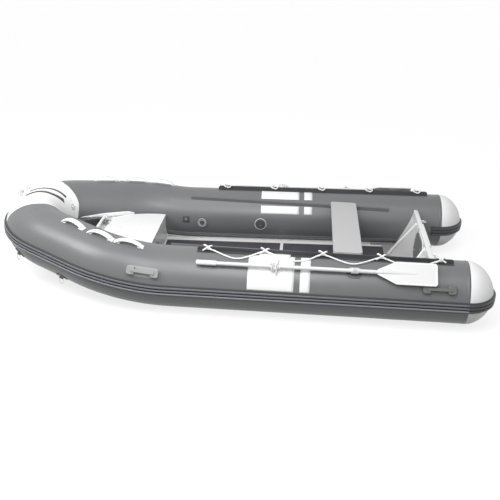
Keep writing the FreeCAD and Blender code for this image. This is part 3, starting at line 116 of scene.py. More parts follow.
class TubeRoute:
    """The port tube's centreline from its stern ring to the middle of the nose."""

    def __init__(self):
        self.moves = []
        self.length = 0.0
        self.here = Matrix.Translation((STERN_RING_X, STERN_HALF_SPREAD, TUBE_HEIGHT))
        self.here = self.here @ Matrix.Rotation(-TOE_IN, 4, "Z")
        self.run(MAIN_RUN)
        self.turn(-self.here.col[1].xyz, Vector((0, 0, SHEER_RADIUS)), SHEER, SHEER_RADIUS)
        ahead = self.here.col[0].xyz
        self.lift = Vector((ahead.x, 0, ahead.z)).normalized()
        self.plane_up = self.lift.cross(Vector((0, 1, 0)))
        self.shoulder(SHOULDER_RADIUS, SHOULDER)
        self.run(SHOULDER_RUN)
        ahead = self.here.col[0].xyz
        turned = math.atan2(-ahead.y, ahead.dot(self.lift))
        self.shoulder(self.here.translation.y / math.cos(turned), math.pi / 2 - turned)

    def go(self, length, move):
        """Adds a stretch; its move turns a share of the stretch into a matrix."""
        self.moves.append((self.here.copy(), length, move))
        self.here = move(1.0) @ self.here
        self.length += length

    def run(self, length):
        """A straight stretch."""
        step = self.here.col[0].xyz * length
        self.go(length, lambda share: Matrix.Translation(step * share))

    def turn(self, axis, arm, angle, radius):
        """An arc about an axis that lies an arm away."""
        centre = self.here.translation + arm
        there, back = Matrix.Translation(centre), Matrix.Translation(-centre)
        self.go(radius * angle, lambda share: there @ Matrix.Rotation(angle * share, 4, axis) @ back)

    def shoulder(self, radius, angle):
        """An arc towards the middle in the bow's tilted plane."""
        inward = -self.plane_up.cross(self.here.col[0].xyz)
        self.turn(-self.plane_up, inward * radius, angle, radius)

    def at(self, station):
        """The frame at a station: X along the tube, Y outboard and Z up."""
        for start, length, move in self.moves:
            if station <= length or move is self.moves[-1][-1]:
                return move(station / length) @ start
            station -= length

    def stand(self, station, degrees, side=PORT):
        """A frame on the tube: X along it, Z straight out of it."""
        turn = math.radians(degrees)
        seat = self.at(station) @ Matrix.Rotation(-turn, 4, "X") @ Matrix.Translation((0, 0, TUBE_RADIUS))
        if side == PORT:
            return seat
        return Matrix.Diagonal((1, -1, 1, 1)) @ seat @ Matrix.Diagonal((1, -1, 1, 1))

    def spot(self, station, degrees, rise=0.0, side=PORT):
        """A point on the tube: how far along, the angle from its top towards outboard, and how far off it."""
        turn = math.radians(degrees)
        point = self.at(station) @ (Vector((0, math.sin(turn), math.cos(turn))) * (TUBE_RADIUS + rise))
        return Vector((point.x, point.y * side, point.z))


ROUTE = TubeRoute()
LINE_STEPS = 300
NOSE_FROM_X = 1.0
NOSE_HEIGHTS = (0.2, 0.8)
NOSE_FINE = 0.0002
CENTRELINE = [ROUTE.at(ROUTE.length * i / LINE_STEPS).translation for i in range(LINE_STEPS + 1)]
NOSE_HALF = [p for p in CENTRELINE if p.x > NOSE_FROM_X]
NOSE_LINE = [Vector((p.x, p.y * side, p.z)) for p in NOSE_HALF for side in (PORT, STARBOARD)]


def search(inside, low, high, fine):
    """Narrows the stretch from a value that is inside to one that isn't."""
    while high - low > fine:
        middle = (low + high) / 2
        if inside(middle):
            low = middle
        else:
            high = middle
    return low, high


def on_nose(x, y, rise):
    """The place on the tubes' upper side, or a rise off it, above a place near the nose."""
    def inside(height):
        return min((Vector((x, y, height)) - p).length for p in NOSE_LINE) < TUBE_RADIUS + rise

    return Vector((x, y, search(inside, *NOSE_HEIGHTS, NOSE_FINE)[1]))


def feed(tree, socket, value):
    """Gives a socket a number or a colour, or links another socket to it."""
    if isinstance(value, bpy.types.NodeSocket):
        tree.links.new(value, socket)
    else:
        socket.default_value = (*value, 1.0) if isinstance(value, tuple) else value


def feed_all(tree, node, inputs):
    """Feeds a node's inputs by their names, and gives back the node."""
    for label, value in inputs.items():
        feed(tree, node.inputs[label], value)
    return node


def math_node(tree, operation, *values):
    """A sum or a comparison of numbers and sockets."""
    node = tree.nodes.new("ShaderNodeMath")
    node.operation = operation
    for socket, value in zip(node.inputs, values):
        feed(tree, socket, value)
    return node.outputs[0]


def plus(tree, first, second):
    return math_node(tree, "ADD", first, second)


def times(tree, first, second):
    return math_node(tree, "MULTIPLY", first, second)


def weighed(tree, first, first_share, second, second_share):
    """Two values added by their shares."""
    return plus(tree, times(tree, first, first_share), times(tree, second, second_share))


def unsigned(tree, value):
    return math_node(tree, "ABSOLUTE", value)


def above(tree, value, limit):
    """A mask that is 1 over a limit."""
    return math_node(tree, "GREATER_THAN", value, limit)


def below(tree, value, limit):
    """A mask that is 1 under a limit."""
    return math_node(tree, "LESS_THAN", value, limit)


def chained(tree, operation, first, *others):
    """One operation over several masks in turn."""
    for other in others:
        first = math_node(tree, operation, first, other)
    return first


def noise_node(tree, vector, scale, detail, rough=0.5):
    """Soft noise over a place."""
    inputs = {"Vector": vector, "Scale": scale, "Detail": detail, "Roughness": rough}
    return feed_all(tree, tree.nodes.new("ShaderNodeTexNoise"), inputs).outputs["Fac"]


def object_place(tree):
    """The place on the object, in its own frame."""
    return tree.nodes.new("ShaderNodeTexCoord").outputs["Object"]


def parts_of(tree, output):
    """The X, Y and Z of the place ("Object") or of the surface's direction ("Normal")."""
    node = tree.nodes.new("ShaderNodeSeparateXYZ")
    tree.links.new(tree.nodes.new("ShaderNodeTexCoord").outputs[output], node.inputs[0])
    return node.outputs


# Node groups that the materials share
def new_group(name, *inputs):
    """A group that puts out a height and a tone, with its inputs and outputs from within."""
    group = bpy.data.node_groups.new(name, "ShaderNodeTree")
    for label, default in inputs:
        socket = group.interface.new_socket(label, in_out="INPUT", socket_type="NodeSocketFloat")
        socket.default_value = default
    for label in ("Height", "Tone"):
        group.interface.new_socket(label, in_out="OUTPUT", socket_type="NodeSocketFloat")
    return group, group.nodes.new("NodeGroupInput").outputs, group.nodes.new("NodeGroupOutput").inputs


def closed_group(group, out, height, tone):
    """Links what the group puts out, and gives back the group."""
    group.links.new(height, out["Height"])
    group.links.new(tone, out["Tone"])
    return group


def coated_cloth():
    """A cloth's weave seen through its coating, with slow changes of tone and fine scuffs."""
    group, given, out = new_group("Coated cloth", ("Threads", 900.0), ("Lumps", 38.0))
    place = object_place(group)
    fine = noise_node(group, place, given["Threads"], 1.0)
    lumps = noise_node(group, place, given["Lumps"], 3.0)
    slow = noise_node(group, place, 2.2, 2.0)
    marks = noise_node(group, place, 9.0, 5.0, 0.62)
    height = plus(group, times(group, fine, 0.3), lumps)
    return closed_group(group, out, height, weighed(group, slow, 0.6, marks, 0.4))


def moulded():
    """A moulded or gelcoated surface: slow waviness, fine dust and light scuffs."""
    group, given, out = new_group("Moulded surface", ("Grain", 260.0), ("Scuffs", 14.0))
    place = object_place(group)
    grain = noise_node(group, place, given["Grain"], 2.0)
    wave = noise_node(group, place, 6.0, 1.0)
    scuffs = noise_node(group, place, given["Scuffs"], 6.0, 0.7)
    return closed_group(group, out, plus(group, times(group, grain, 0.3), wave), scuffs)


def tread():
    """A non-skid sheet: small raised diamonds in rows, paler than the sheet between them."""
    group, given, out = new_group("Tread diamonds", ("Pitch", 0.009), ("Size", 0.55))
    parts = parts_of(group, "Object")
    ways = []
    for operation in ("ADD", "SUBTRACT"):
        slant = math_node(group, operation, parts["X"], parts["Y"])
        ways.append(math_node(group, "PINGPONG", math_node(group, "DIVIDE", slant, given["Pitch"]), 0.5))
    least = math_node(group, "MINIMUM", *ways)
    step = times(group, math_node(group, "SUBTRACT", 1.0, given["Size"]), 0.5)
    edge = times(group, math_node(group, "SUBTRACT", least, step), 12.0)
    raised = math_node(group, "MAXIMUM", math_node(group, "MINIMUM", edge, 1.0), 0.0)
    slow = noise_node(group, object_place(group), 5.0, 4.0)
    return closed_group(group, out, raised, weighed(group, slow, 0.6, raised, 0.4))


def webbing():
    """A woven strap: close ribs across it, with the threads between them."""
    group, given, out = new_group("Woven strap", ("Rib", 0.0022), ("Threads", 500.0))
    parts = parts_of(group, "Object")
    turns = math_node(group, "DIVIDE", plus(group, parts["X"], parts["Z"]), given["Rib"])
    rib = math_node(group, "PINGPONG", turns, 0.5)
    threads = noise_node(group, object_place(group), given["Threads"], 2.0)
    slow = noise_node(group, object_place(group), 14.0, 4.0, 0.6)
    height = plus(group, rib, times(group, threads, 0.5))
    return closed_group(group, out, height, weighed(group, slow, 0.7, rib, 0.6))


# Zones of the mouldings that have a colour of their own, and where they end
TRANSOM_FACE_TOP = 0.342
STRIP_ENDS = (1.036, 1.076)
STRIP_FOOT = 0.28
CROSSBEAM_FORE = 1.0965
PAD_EDGE = 0.4415
PAD_EDGE_SLANT = 0.025
RAIL_INNER_EDGE = 0.503
BLADE_BORDERS = {"neck": 0.030, "taper": 0.006, "side": 0.014, "tip": 0.016}


def between(tree, value, low, high):
    """A mask that is 1 from low to high."""
    return times(tree, above(tree, value, low), below(tree, value, high))


def short_of(axis, limit):
    """A zone of all that lies short of a limit along an axis."""
    return lambda tree: below(tree, parts_of(tree, "Object")[axis], limit)


# The deck behind the pads, the carry handle near the stern, and the rowlock's foot on the tube
aft_deck = short_of("X", -1.02)
aft_handle = short_of("X", -1.0)
rowlock_foot = short_of("Z", 0.404)


def locker_well(tree):
    """The anchor well and the deck round it, ahead of the crossbeam."""
    return above(tree, parts_of(tree, "Object")["X"], CROSSBEAM_FORE)


def shaded_transom_face(tree):
    """The transom's inner board, between its white edges, greyed as painted shade."""
    flat = above(tree, unsigned(tree, parts_of(tree, "Normal")["X"]), 0.7)
    return times(tree, flat, below(tree, parts_of(tree, "Object")["Z"], TRANSOM_FACE_TOP))


def locker_strip(tree):
    """The stippled strip between the lid and the crossbeam."""
    parts = parts_of(tree, "Object")
    level = above(tree, parts_of(tree, "Normal")["Z"], 0.95)
    return chained(tree, "MULTIPLY", level, between(tree, parts["X"], *STRIP_ENDS),
                   above(tree, parts["Z"], STRIP_FOOT))


def pad_border(tree):
    """The white edge of the deck, which laps over the pads' outer edges."""
    parts = parts_of(tree, "Object")
    limit = math_node(tree, "SUBTRACT", PAD_EDGE, times(tree, parts["X"], PAD_EDGE_SLANT))
    return above(tree, unsigned(tree, parts["Y"]), limit)


def rail_side(tree):
    """The rail's upright side and inboard edge, which have the tube's colour; the rest of its top is a
    near-black painted shadow line.
    """
    side = below(tree, parts_of(tree, "Normal")["Z"], 0.55)
    edge = below(tree, unsigned(tree, parts_of(tree, "Object")["Y"]), RAIL_INNER_EDGE)
    return math_node(tree, "MAXIMUM", side, edge)


def oar_share(tree, axis):
    """How far a point lies along an axis of the port oar, or of the starboard one mirrored."""
    parts = parts_of(tree, "Object")
    joined = tree.nodes.new("ShaderNodeCombineXYZ")
    for socket, part in zip(joined.inputs, (parts["X"], unsigned(tree, parts["Y"]), parts["Z"])):
        tree.links.new(part, socket)
    dot = tree.nodes.new("ShaderNodeVectorMath")
    dot.operation = "DOT_PRODUCT"
    tree.links.new(joined.outputs[0], dot.inputs[0])
    dot.inputs[1].default_value = axis
    pin = ROUTE.stand(OAR_STATION, OAR_DEGREES).translation
    return math_node(tree, "SUBTRACT", dot.outputs["Value"], axis.dot(pin))


def blade_field(tree):
    """The blade's inner field, inside its border."""
    pin = ROUTE.stand(OAR_STATION, OAR_DEGREES)
    along = oar_share(tree, pin.col[0].xyz)
    across = unsigned(tree, oar_share(tree, pin.col[1].xyz))
    room = times(tree, math_node(tree, "SUBTRACT", BLADE_NECK, along), BLADE_HALF / BLADE_TAPER)
    inside = below(tree, across, math_node(tree, "SUBTRACT", room, BLADE_BORDERS["taper"]))
    return chained(tree, "MULTIPLY", inside, below(tree, across, BLADE_HALF - BLADE_BORDERS["side"]),
                   between(tree, along, BLADE_TIP + BLADE_BORDERS["tip"], BLADE_NECK - BLADE_BORDERS["neck"]))


# Finishes: name, surface, colours, roughness, relief, and what else they have. The colours are a paler and a
# deeper one, or those two as shares of one in the panel. A zone has a mask and colours of its own.
TAPE = ((0.42, 0.52), (0.12, 0.0006))
RIDGE = ((0.34, 0.46), (0.10, 0.0005))
GELCOAT = (moulded, ("white", 1.0, 0.985), (0.26, 0.33), (0.015, 0.0006))
FINISHES = {
    "tube_fabric": ("Grey coated cloth", coated_cloth, ("tube", 1.0, 0.84), (0.31, 0.40), (0.12, 0.0006)),
    "pale_tape": ("Pale seam tape", coated_cloth, ("tube", 1.25, 1.05), *TAPE),
    # A darker copy of the tube's cloth, for the painted shadow band below the flange tape.
    "dark_tape": ("Dark seam tape", coated_cloth, ("tube", 0.42, 0.3528), *TAPE),
    "dark_stripe": ("Dark stripe cloth", coated_cloth, ("tube", 0.30, 0.252), *TAPE),
    "nose_fabric": ("White coated cloth", coated_cloth, ("white", 1.0, 0.96), (0.38, 0.5), (0.10, 0.0006)),
    "strake_rubber": ("Strake rubber", moulded, ("strake", 1.0, 0.8), (0.36, 0.5), (0.10, 0.0005)),
    # The ridges' paler rubber is painted highlight, brightest on the lowest ridge.
    "strake_ridge": ("Strake ridge rubber", moulded, ("strake", 2.6, 2.236), *RIDGE),
    "lowest_ridge": ("Strake lowest ridge rubber", moulded, ("strake", 4.6, 4.048), *RIDGE),
    "hull_laminate": ("White gelcoat", *GELCOAT, {"coat": 0.2}),
    "deck": ("Deck gelcoat", *GELCOAT, {
        "coat": 0.2, "zones": [(aft_deck, ((0.40, 0.40, 0.395), (0.32, 0.32, 0.315)))]}),
    "bow_locker": ("Locker gelcoat", *GELCOAT, {
        "coat": 0.2, "zones": [(locker_strip, ((0.58, 0.585, 0.59), (0.34, 0.345, 0.35))),
                               (locker_well, ((0.105, 0.10, 0.105), (0.075, 0.072, 0.076)))]}),
    # The grey on the transom's flat board is painted shade on its white gelcoat.
    "transom_laminate": ("Transom gelcoat", moulded, ("white", 1.0, 0.93), (0.24, 0.4), (0.06, 0.0006), {
        "coat": 0.2, "zones": [(shaded_transom_face, ((0.50, 0.51, 0.515), (0.43, 0.44, 0.445)))]}),
    "transom_knee": ("Knee gelcoat", moulded, ("white", 0.78, 0.64), (0.3, 0.46), (0.35, 0.004), {
        "coat": 0.1, "settings": {"Grain": 30.0}}),
    "dark_tread": ("Dark tread", tread, ("tread", 1.0, 0.66), (0.55, 0.72), (0.6, 0.0009), {
        "zones": [(pad_border, ("white", 0.95, 0.9215))]}),
    "seat_board": ("Grey seat board", moulded, ("seat", 1.0, 0.93), (0.42, 0.55), (0.08, 0.0005)),
    "fitting_rubber": ("Grey moulded fitting", moulded, ((0.34, 0.34, 0.34), (0.27, 0.272, 0.272)),
        (0.38, 0.52), (0.12, 0.0005), {
        "zones": [(aft_handle, ((0.155, 0.155, 0.15), (0.115, 0.116, 0.113)))]}),
    "pad_rubber": ("Grey pad rubber", moulded, ((0.17, 0.172, 0.175), (0.12, 0.122, 0.125)), (0.5, 0.66),
        (0.15, 0.0005)),
    "lacing_strip": ("Lacing strip rubber", moulded, ((0.062, 0.064, 0.067), (0.046, 0.048, 0.051)),
        (0.42, 0.56), (0.12, 0.0005)),
    "rowlock": ("Rowlock plastic", moulded, ((0.60, 0.605, 0.60), (0.50, 0.505, 0.50)), (0.34, 0.48),
        (0.08, 0.0005), {"zones": [(rowlock_foot, ((0.075, 0.076, 0.078), (0.055, 0.056, 0.057)))]}),
    # The rail's near-black top is a painted shadow line for the shade under the rail's lip.
    "rail_rubber": ("Rail rubber", moulded, ((0.022, 0.023, 0.024), (0.014, 0.015, 0.016)), (0.5, 0.66),
        (0.15, 0.0005), {"zones": [(rail_side, ("tube", 0.9, 0.75))]}),
    "white_rubber": ("White rubber", moulded, ((0.92, 0.92, 0.915), (0.86, 0.865, 0.86)), (0.42, 0.55),
        (0.12, 0.0005)),
    "strap_webbing": ("White webbing", webbing, ((0.95, 0.95, 0.945), (0.84, 0.845, 0.84)), (0.62, 0.8),
        (0.3, 0.0005)),
    "oar_tube": ("Pale oar tube", moulded, ((0.76, 0.765, 0.765), (0.66, 0.665, 0.665)), (0.26, 0.40),
        (0.05, 0.0004), {"coat": 0.15}),
    "blade_plastic": ("White oar plastic", moulded, ((0.81, 0.81, 0.805), (0.77, 0.775, 0.77)), (0.34, 0.5),
        (0.10, 0.0006), {"zones": [(blade_field, ((0.745, 0.75, 0.745), (0.705, 0.71, 0.705)))]}),
    "oar_plastic": ("White grip plastic", moulded, ((0.92, 0.925, 0.92), (0.82, 0.825, 0.82)), (0.45, 0.6),
        (0.2, 0.0006)),
    "valve_plastic": ("Grey valve plastic", moulded, ((0.105, 0.108, 0.11), (0.075, 0.078, 0.08)),
        (0.34, 0.48), (0.08, 0.0005)),
    "valve_ring": ("Pale valve ring", moulded, ((0.66, 0.67, 0.68), (0.55, 0.56, 0.57)), (0.24, 0.36),
        (0.05, 0.0004)),
    "ring_steel": ("Bright steel", moulded, ((0.66, 0.67, 0.68), (0.52, 0.53, 0.54)), (0.12, 0.26),
        (0.04, 0.0003), {"metallic": 1.0}),
    "rope": ("White rope", coated_cloth, ("rope", 1.0, 0.92), (0.7, 0.85), (0.3, 0.0006), {
        "settings": {"Threads": 1600.0}}),
}
SAME_FINISH = {
    "cone_fabric": "nose_fabric", "deck_laminate": "hull_laminate", "lid_laminate": "hull_laminate",
}
TONE_RANGE = (0.3, 0.7)
MADE = {}


def blended(tree, share, first, second):
    """A colour that moves from the first to the second with a share."""
    mix = tree.nodes.new("ShaderNodeMix")
    mix.data_type = "RGBA"
    return feed_all(tree, mix, {"Factor": share, "A": first, "B": second}).outputs["Result"]


def toned(tree, tone, colours):
    """A colour that moves from the deeper of two to the paler with the tone."""
    if isinstance(colours[0], str):
        name, *shares = colours
        whole = getattr(bpy.context.scene.boat_sizes, name + "_colour")
        colours = [tuple(part * share for part in whole) for share in shares]
    pale, deep = colours
    return blended(tree, tone, deep, pale)


def new_finish(name, surface, colours, roughness, relief, more=None):
    """A material whose colour, gloss and relief change with a shared surface."""
    more = more or {}
    material = bpy.data.materials.new(name)
    material.use_nodes = True
    tree = material.node_tree
    shader = tree.nodes["Principled BSDF"]
    group = tree.nodes.new("ShaderNodeGroup")
    if surface not in MADE:
        MADE[surface] = surface()
    group.node_tree = MADE[surface]
    for label, value in more.get("settings", {}).items():
        group.inputs[label].default_value = value
    tone = group.outputs["Tone"]
    colour = toned(tree, tone, colours)
    for mask, zone_colours in more.get("zones", ()):
        colour = blended(tree, mask(tree), colour, toned(tree, tone, zone_colours))
    spread = feed_all(tree, tree.nodes.new("ShaderNodeMapRange"), {
        "Value": tone, "From Min": TONE_RANGE[0], "From Max": TONE_RANGE[1],
        "To Min": roughness[0], "To Max": roughness[1]})
    bump = feed_all(tree, tree.nodes.new("ShaderNodeBump"), {
        "Strength": relief[0], "Distance": relief[1], "Height": group.outputs["Height"]})
    feed_all(tree, shader, {
        "Base Color": colour, "Roughness": spread.outputs["Result"], "Normal": bump.outputs["Normal"],
        "Metallic": more.get("metallic", 0.0), "Coat Weight": more.get("coat", 0.0)})
    return material


def finish(look):
    """The material of a look, made the first time."""
    look = SAME_FINISH.get(look, look)
    if look not in MADE:
        MADE[look] = new_finish(*FINISHES[look])
    return MADE[look]


SLOTS = {part["node"]: part["material_slot"] for part in frame["record"]["subparts"]}


def dress(names, look=None):
    """Gives pieces of the frame their slot's finish, or another look."""
    for name in names:
        mesh = frame["nodes"][name].data
        mesh.materials.clear()
        mesh.materials.append(finish(look or SLOTS[name]))


def dress_pairs(names, look=None):
    """Dresses both sides' pieces of each name."""
    dress([side_name + "_" + name for name in names for side_name in ("port", "starboard")], look)


def new_piece(name, verts, faces, slot, look=None, body="boat"):
    """A piece of points and faces that rides on a body, with its slot's finish or another look."""
    mesh = bpy.data.meshes.new(name)
    mesh.from_pydata([tuple(v) for v in verts], [], faces)
    mesh.validate()
    mesh.update()
    for polygon in mesh.polygons:
        polygon.use_smooth = True
    mesh.materials.append(finish(look or slot))
    piece = bpy.data.objects.new(name, mesh)
    bpy.context.scene.collection.objects.link(piece)
    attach(piece, body)
    return piece


def grid_faces(rows, columns, flipped=False):
    """The faces between rows of points."""
    faces = []
    for i in range(rows - 1):
        for j in range(columns - 1):
            corner = i * columns + j
            face = (corner, corner + 1, corner + columns + 1, corner + columns)
            faces.append(face[::-1] if flipped else face)
    return faces


def ring_faces(base, rings, sides):
    """The faces of a closed skin over rings of points that begin at base."""
    faces = []
    for k in range(rings - 1):
        for j in range(sides):
            a = base + k * sides + j
            b = base + k * sides + (j + 1) % sides
            faces.append((a, b, b + sides, a + sides))
    last = base + (rings - 1) * sides
    faces.append(tuple(base + j for j in reversed(range(sides))))
    faces.append(tuple(last + j for j in range(sides)))
    return faces


# Pieces laid on both tubes: name, stations, angles from the tube's top, slot, and a look of their own
PATCH_THICKNESS = 0.0009
PATCH_STEP = 0.02
PATCH_TURN = 3
SEAM_STATIONS = (0.250, 2.780)
PATCHES = (
    ("wide_patch_outer", (1.135, 1.440), (-32.0, 83.0), "nose_fabric"),
    ("wide_patch_inner", (1.135, 1.440), (-67.0, -49.0), "nose_fabric"),
    ("narrow_patch_outer", (1.030, 1.095), (-32.0, 83.0), "nose_fabric"),
    ("narrow_patch_inner", (1.030, 1.095), (-67.0, -49.0), "nose_fabric"),
    ("deck_flange", SEAM_STATIONS, (-148.0, -137.5), "nose_fabric"),
    # The dark band between the flange tape and the deck flange is painted shadow.
    ("shadow_tape", SEAM_STATIONS, (-137.5, -130.0), "tube_fabric", "dark_tape"),
    ("flange_tape", SEAM_STATIONS, (-130.0, -119.5), "tube_fabric", "pale_tape"),
    ("stern_seam", (0.004, 0.022), (-178.0, 178.0), "tube_fabric"),
)
LASHING_PAD = ("lashing_pad", (1.166, 1.376), (4.9, 17.0), "nose_fabric", None)
PAD_THICKNESS = 0.0008
PAD_FOOT = 0.0029

# Painted highlight strips on the ridges of the rub strake, paler than its rubber: name, height of their top
# and foot over the tube's middle, look
STRAKE_RIDGES = (
    ("upper_ridge", (0.01625, 0.00125), "strake_ridge"),
    ("middle_ridge", (-0.0065, -0.0215), "strake_ridge"),
    ("lowest_ridge", (-0.02925, -0.04425), "lowest_ridge"),
)
RIDGE_STATIONS = (0.002, ROUTE.length - 0.0005)
RIDGE_THICKNESS = 0.0006
RIDGE_TRIM = 0.35
STRAKE_OUT = 0.015


def tube_patch(name, side, stations, degrees, slot, look=None, thickness=PATCH_THICKNESS, foot=0.0):
    """A thin patch on the tube between two stations and two angles, with its edges turned down."""
    along = max(2, int((stations[1] - stations[0]) / PATCH_STEP))
    around = max(3, int(abs(degrees[1] - degrees[0]) / PATCH_TURN))
    rows, columns = along + 3, around + 3
    verts = []
    for i in range(rows):
        station = stations[0] + (stations[1] - stations[0]) * min(max(i - 1, 0), along) / along
        for j in range(columns):
            turn = degrees[0] + (degrees[1] - degrees[0]) * min(max(j - 1, 0), around) / around
            edge = i in (0, rows - 1) or j in (0, columns - 1)
            verts.append(ROUTE.spot(station, turn, foot + (-thickness if edge else thickness), side))
    return new_piece(name, verts, grid_faces(rows, columns, side == PORT), slot, look)


def strake_highlights(side, side_name):
    """Paler strips on the rub strake's three ridges, as painted highlights."""
    for name, levels, look in STRAKE_RIDGES:
        low, high = (90 - math.degrees(math.asin(level / (TUBE_RADIUS + STRAKE_OUT))) for level in levels)
        tube_patch(f"{side_name}_{name}", side, RIDGE_STATIONS, (low + RIDGE_TRIM, high - RIDGE_TRIM),
                   "strake_rubber", look, RIDGE_THICKNESS, STRAKE_OUT)


# The locker's flange: its ends, its width, and the least share of that at each end, with the steps to widen
FLANGE_STATIONS = (2.545, 3.015)
FLANGE_STEPS = 30
FLANGE_DEGREES = 5.6
FLANGE_AFT = (0.3, 6)
FLANGE_FORE = (0.06, 15)
FLANGE_SEARCH = (-150.0, -45.0)
FLANGE_FINE = 0.05

# Across the flange: degrees from the locker's top, share of the width above it, and rise
FLANGE_SECTION = ((-2.5, 0.0, 0.0012), (0.0, 0.5, 0.0016), (0.0, 1.0, 0.0014), (0.0, 1.0, -0.001))


def locker_flange(side, side_name):
    """The locker's white flange, which laps up the tube's inner side."""
    verts = []
    for i in range(FLANGE_STEPS + 1):
        station = FLANGE_STATIONS[0] + (FLANGE_STATIONS[1] - FLANGE_STATIONS[0]) * i / FLANGE_STEPS

        def under_top(degrees):
            spot = ROUTE.spot(station, degrees)
            return spot.z < LOCKER_TOP_AFT + (spot.x - LOCKER_AFT) * math.tan(LOCKER_SLOPE)

        low = search(under_top, *FLANGE_SEARCH, FLANGE_FINE)[0]
        aft = FLANGE_AFT[0] + i / FLANGE_AFT[1]
        fore = FLANGE_FORE[0] + (FLANGE_STEPS - i) / FLANGE_FORE[1]
        width = FLANGE_DEGREES * min(1.0, aft, fore)
        for degrees, share, rise in FLANGE_SECTION:
            verts.append(ROUTE.spot(station, low + degrees + width * share, rise, side))
    faces = grid_faces(FLANGE_STEPS + 1, len(FLANGE_SECTION), side == PORT)
    return new_piece(side_name + "_locker_flange", verts, faces, "deck_laminate")


# Where the white of the nose ends: name, slot, side, the seam's station, then degrees and station of the edge
NOSE_EDGES = (
    ("port_nose_edge", "tube_fabric", PORT, 3.066, ((-118.0, 3.143), (0.0, 3.143), (85.6, 3.240))),
    ("starboard_nose_edge", "nose_fabric", STARBOARD, 3.139,
     ((-118.0, 3.072), (-80.0, 3.050), (-62.0, 3.032), (-47.0, 3.047), (-29.0, 3.075), (-7.0, 3.096),
      (21.0, 3.088), (60.0, 3.080), (150.0, 3.080))),
)
NOSE_EDGE_ROWS = 60
NOSE_EDGE_COLUMNS = 12


def edge_station(edge, degrees):
    """Where an edge lies at an angle round the tube, on straight lines between its points."""
    for (low, start), (high, end) in zip(edge, edge[1:]):
        if degrees <= high:
            break
    return start + (end - start) * (degrees - low) / (high - low)


def nose_edge(name, slot, side, seam, edge):
    """Cloth between a seam across the tube and an edge that wanders on its way round the tube."""
    rows, columns = NOSE_EDGE_ROWS, NOSE_EDGE_COLUMNS
    verts = []
    for i in range(rows):
        degrees = edge[0][0] + (edge[-1][0] - edge[0][0]) * i / (rows - 1)
        low, high = sorted((edge_station(edge, degrees), seam))
        for j in range(columns):
            on_edge = j in (0, columns - 1) or i in (0, rows - 1)
            station = low + (high - low) * j / (columns - 1)
            verts.append(ROUTE.spot(station, degrees, -PATCH_THICKNESS if on_edge else PATCH_THICKNESS, side))
    return new_piece(name, verts, grid_faces(rows, columns, side != PORT), slot)


# The two dark stripes over the nose: places from outboard to inboard, then half widths
NOSE_STRIPES = (
    ("far_stripe", ((1.592, -0.004), (1.548, -0.050), (1.510, -0.080), (1.465, -0.100), (1.422, -0.112),
                    (1.385, -0.115), (1.351, -0.113)), 0.009),
    ("near_stripe", ((1.592, 0.084), (1.555, 0.038), (1.518, 0.002), (1.474, -0.020), (1.431, -0.034),
                     (1.392, -0.052), (1.355, -0.069)), 0.013),
)
STRIPE_STEPS = 6

# Across a stripe: share of its half width, and rise
STRIPE_SECTION = (
    (-1.0, -0.001), (-1.0, 0.001), (-0.5, 0.0012), (0.0, 0.0013), (0.5, 0.0012), (1.0, 0.001), (1.0, -0.001),
)


def heading(line, i):
    """The way that a line goes at one of its points."""
    return (line[min(i + 1, len(line) - 1)] - line[max(i - 1, 0)]).normalized()


def nose_stripe(name, places, half):
    """A dark ribbon glued over the nose along a given line."""
    places = [Vector(place) for place in places]
    line = []
    for a, b in zip(places, places[1:]):
        line += [a.lerp(b, i / STRIPE_STEPS) for i in range(STRIPE_STEPS)]
    line.append(places[-1])
    verts = []
    for i, place in enumerate(line):
        ahead = heading(line, i)
        for share, rise in STRIPE_SECTION:
            spot = place + Vector((-ahead.y, ahead.x)) * half * share
            verts.append(on_nose(spot.x, spot.y, rise))
    faces = grid_faces(len(line), len(STRIPE_SECTION), True)
    return new_piece(name, verts, faces, "nose_fabric", "dark_stripe")


def lathe(name, places, profile, slot, look=None, segments=32, hexagon=(), draped=False):
    """Round pieces about the Z of each place, from radius and height pairs; hexagon rows have six sides."""
    verts = []
    faces = []
    for place in places:
        faces += ring_faces(len(verts), len(profile), segments)
        for k, (radius, height) in enumerate(profile):
            for j in range(segments):
                turn = 2 * math.pi * j / segments
                reach = radius
                if k in hexagon:
                    reach *= math.cos(math.pi / 6) / math.cos((turn % (math.pi / 3)) - math.pi / 6)
                across = reach * math.sin(turn)
                sag = math.sqrt(TUBE_RADIUS ** 2 - across ** 2) - TUBE_RADIUS if draped else 0.0
                verts.append(place @ Vector((reach * math.cos(turn), across, height + sag)))
    piece = new_piece(name, verts, faces, slot, look)
    piece.data.polygons.foreach_set("use_smooth", [len(p.vertices) == 4 for p in piece.data.polygons])
    return piece


# A screw's domed head and six-sided socket: share of its radius, and height
SCREW_HEAD = (
    (1.0, -0.0008), (1.0, 0.0006), (0.9, 0.0017), (0.62, 0.0025), (0.5, 0.0026), (0.46, 0.0024),
    (0.44, 0.0008),
)
SOCKET_ROWS = (5, 6)


def screws(name, node, starts, way, radius):
    """Domed screw heads with a six-sided socket, in the hinges or a motor pad."""
    places = [seated(node, start, way) for start in starts]
    profile = [(radius * share, height) for share, height in SCREW_HEAD]
    return lathe(name, places, profile, "ring_steel", None, 24, SOCKET_ROWS)


def route_curve(name, points):
    """A route's smooth curve."""
    curve = bpy.data.curves.new(name, "CURVE")
    curve.dimensions = "3D"
    curve.resolution_u = 24
    spline = curve.splines.new("NURBS")
    spline.points.add(len(points) - 1)
    for control, point in zip(spline.points, points):
        control.co = (*point, 1.0)
    spline.order_u = 3
    spline.use_endpoint_u = True
    return curve


def line_points(curve):
    """The points of a route's smooth line."""
    holder = bpy.data.objects.new(curve.name + "_line", curve)
    bpy.context.scene.collection.objects.link(holder)
    mesh = bpy.data.meshes.new_from_object(holder)
    points = [v.co.copy() for v in mesh.vertices]
    bpy.data.objects.remove(holder)
    return points


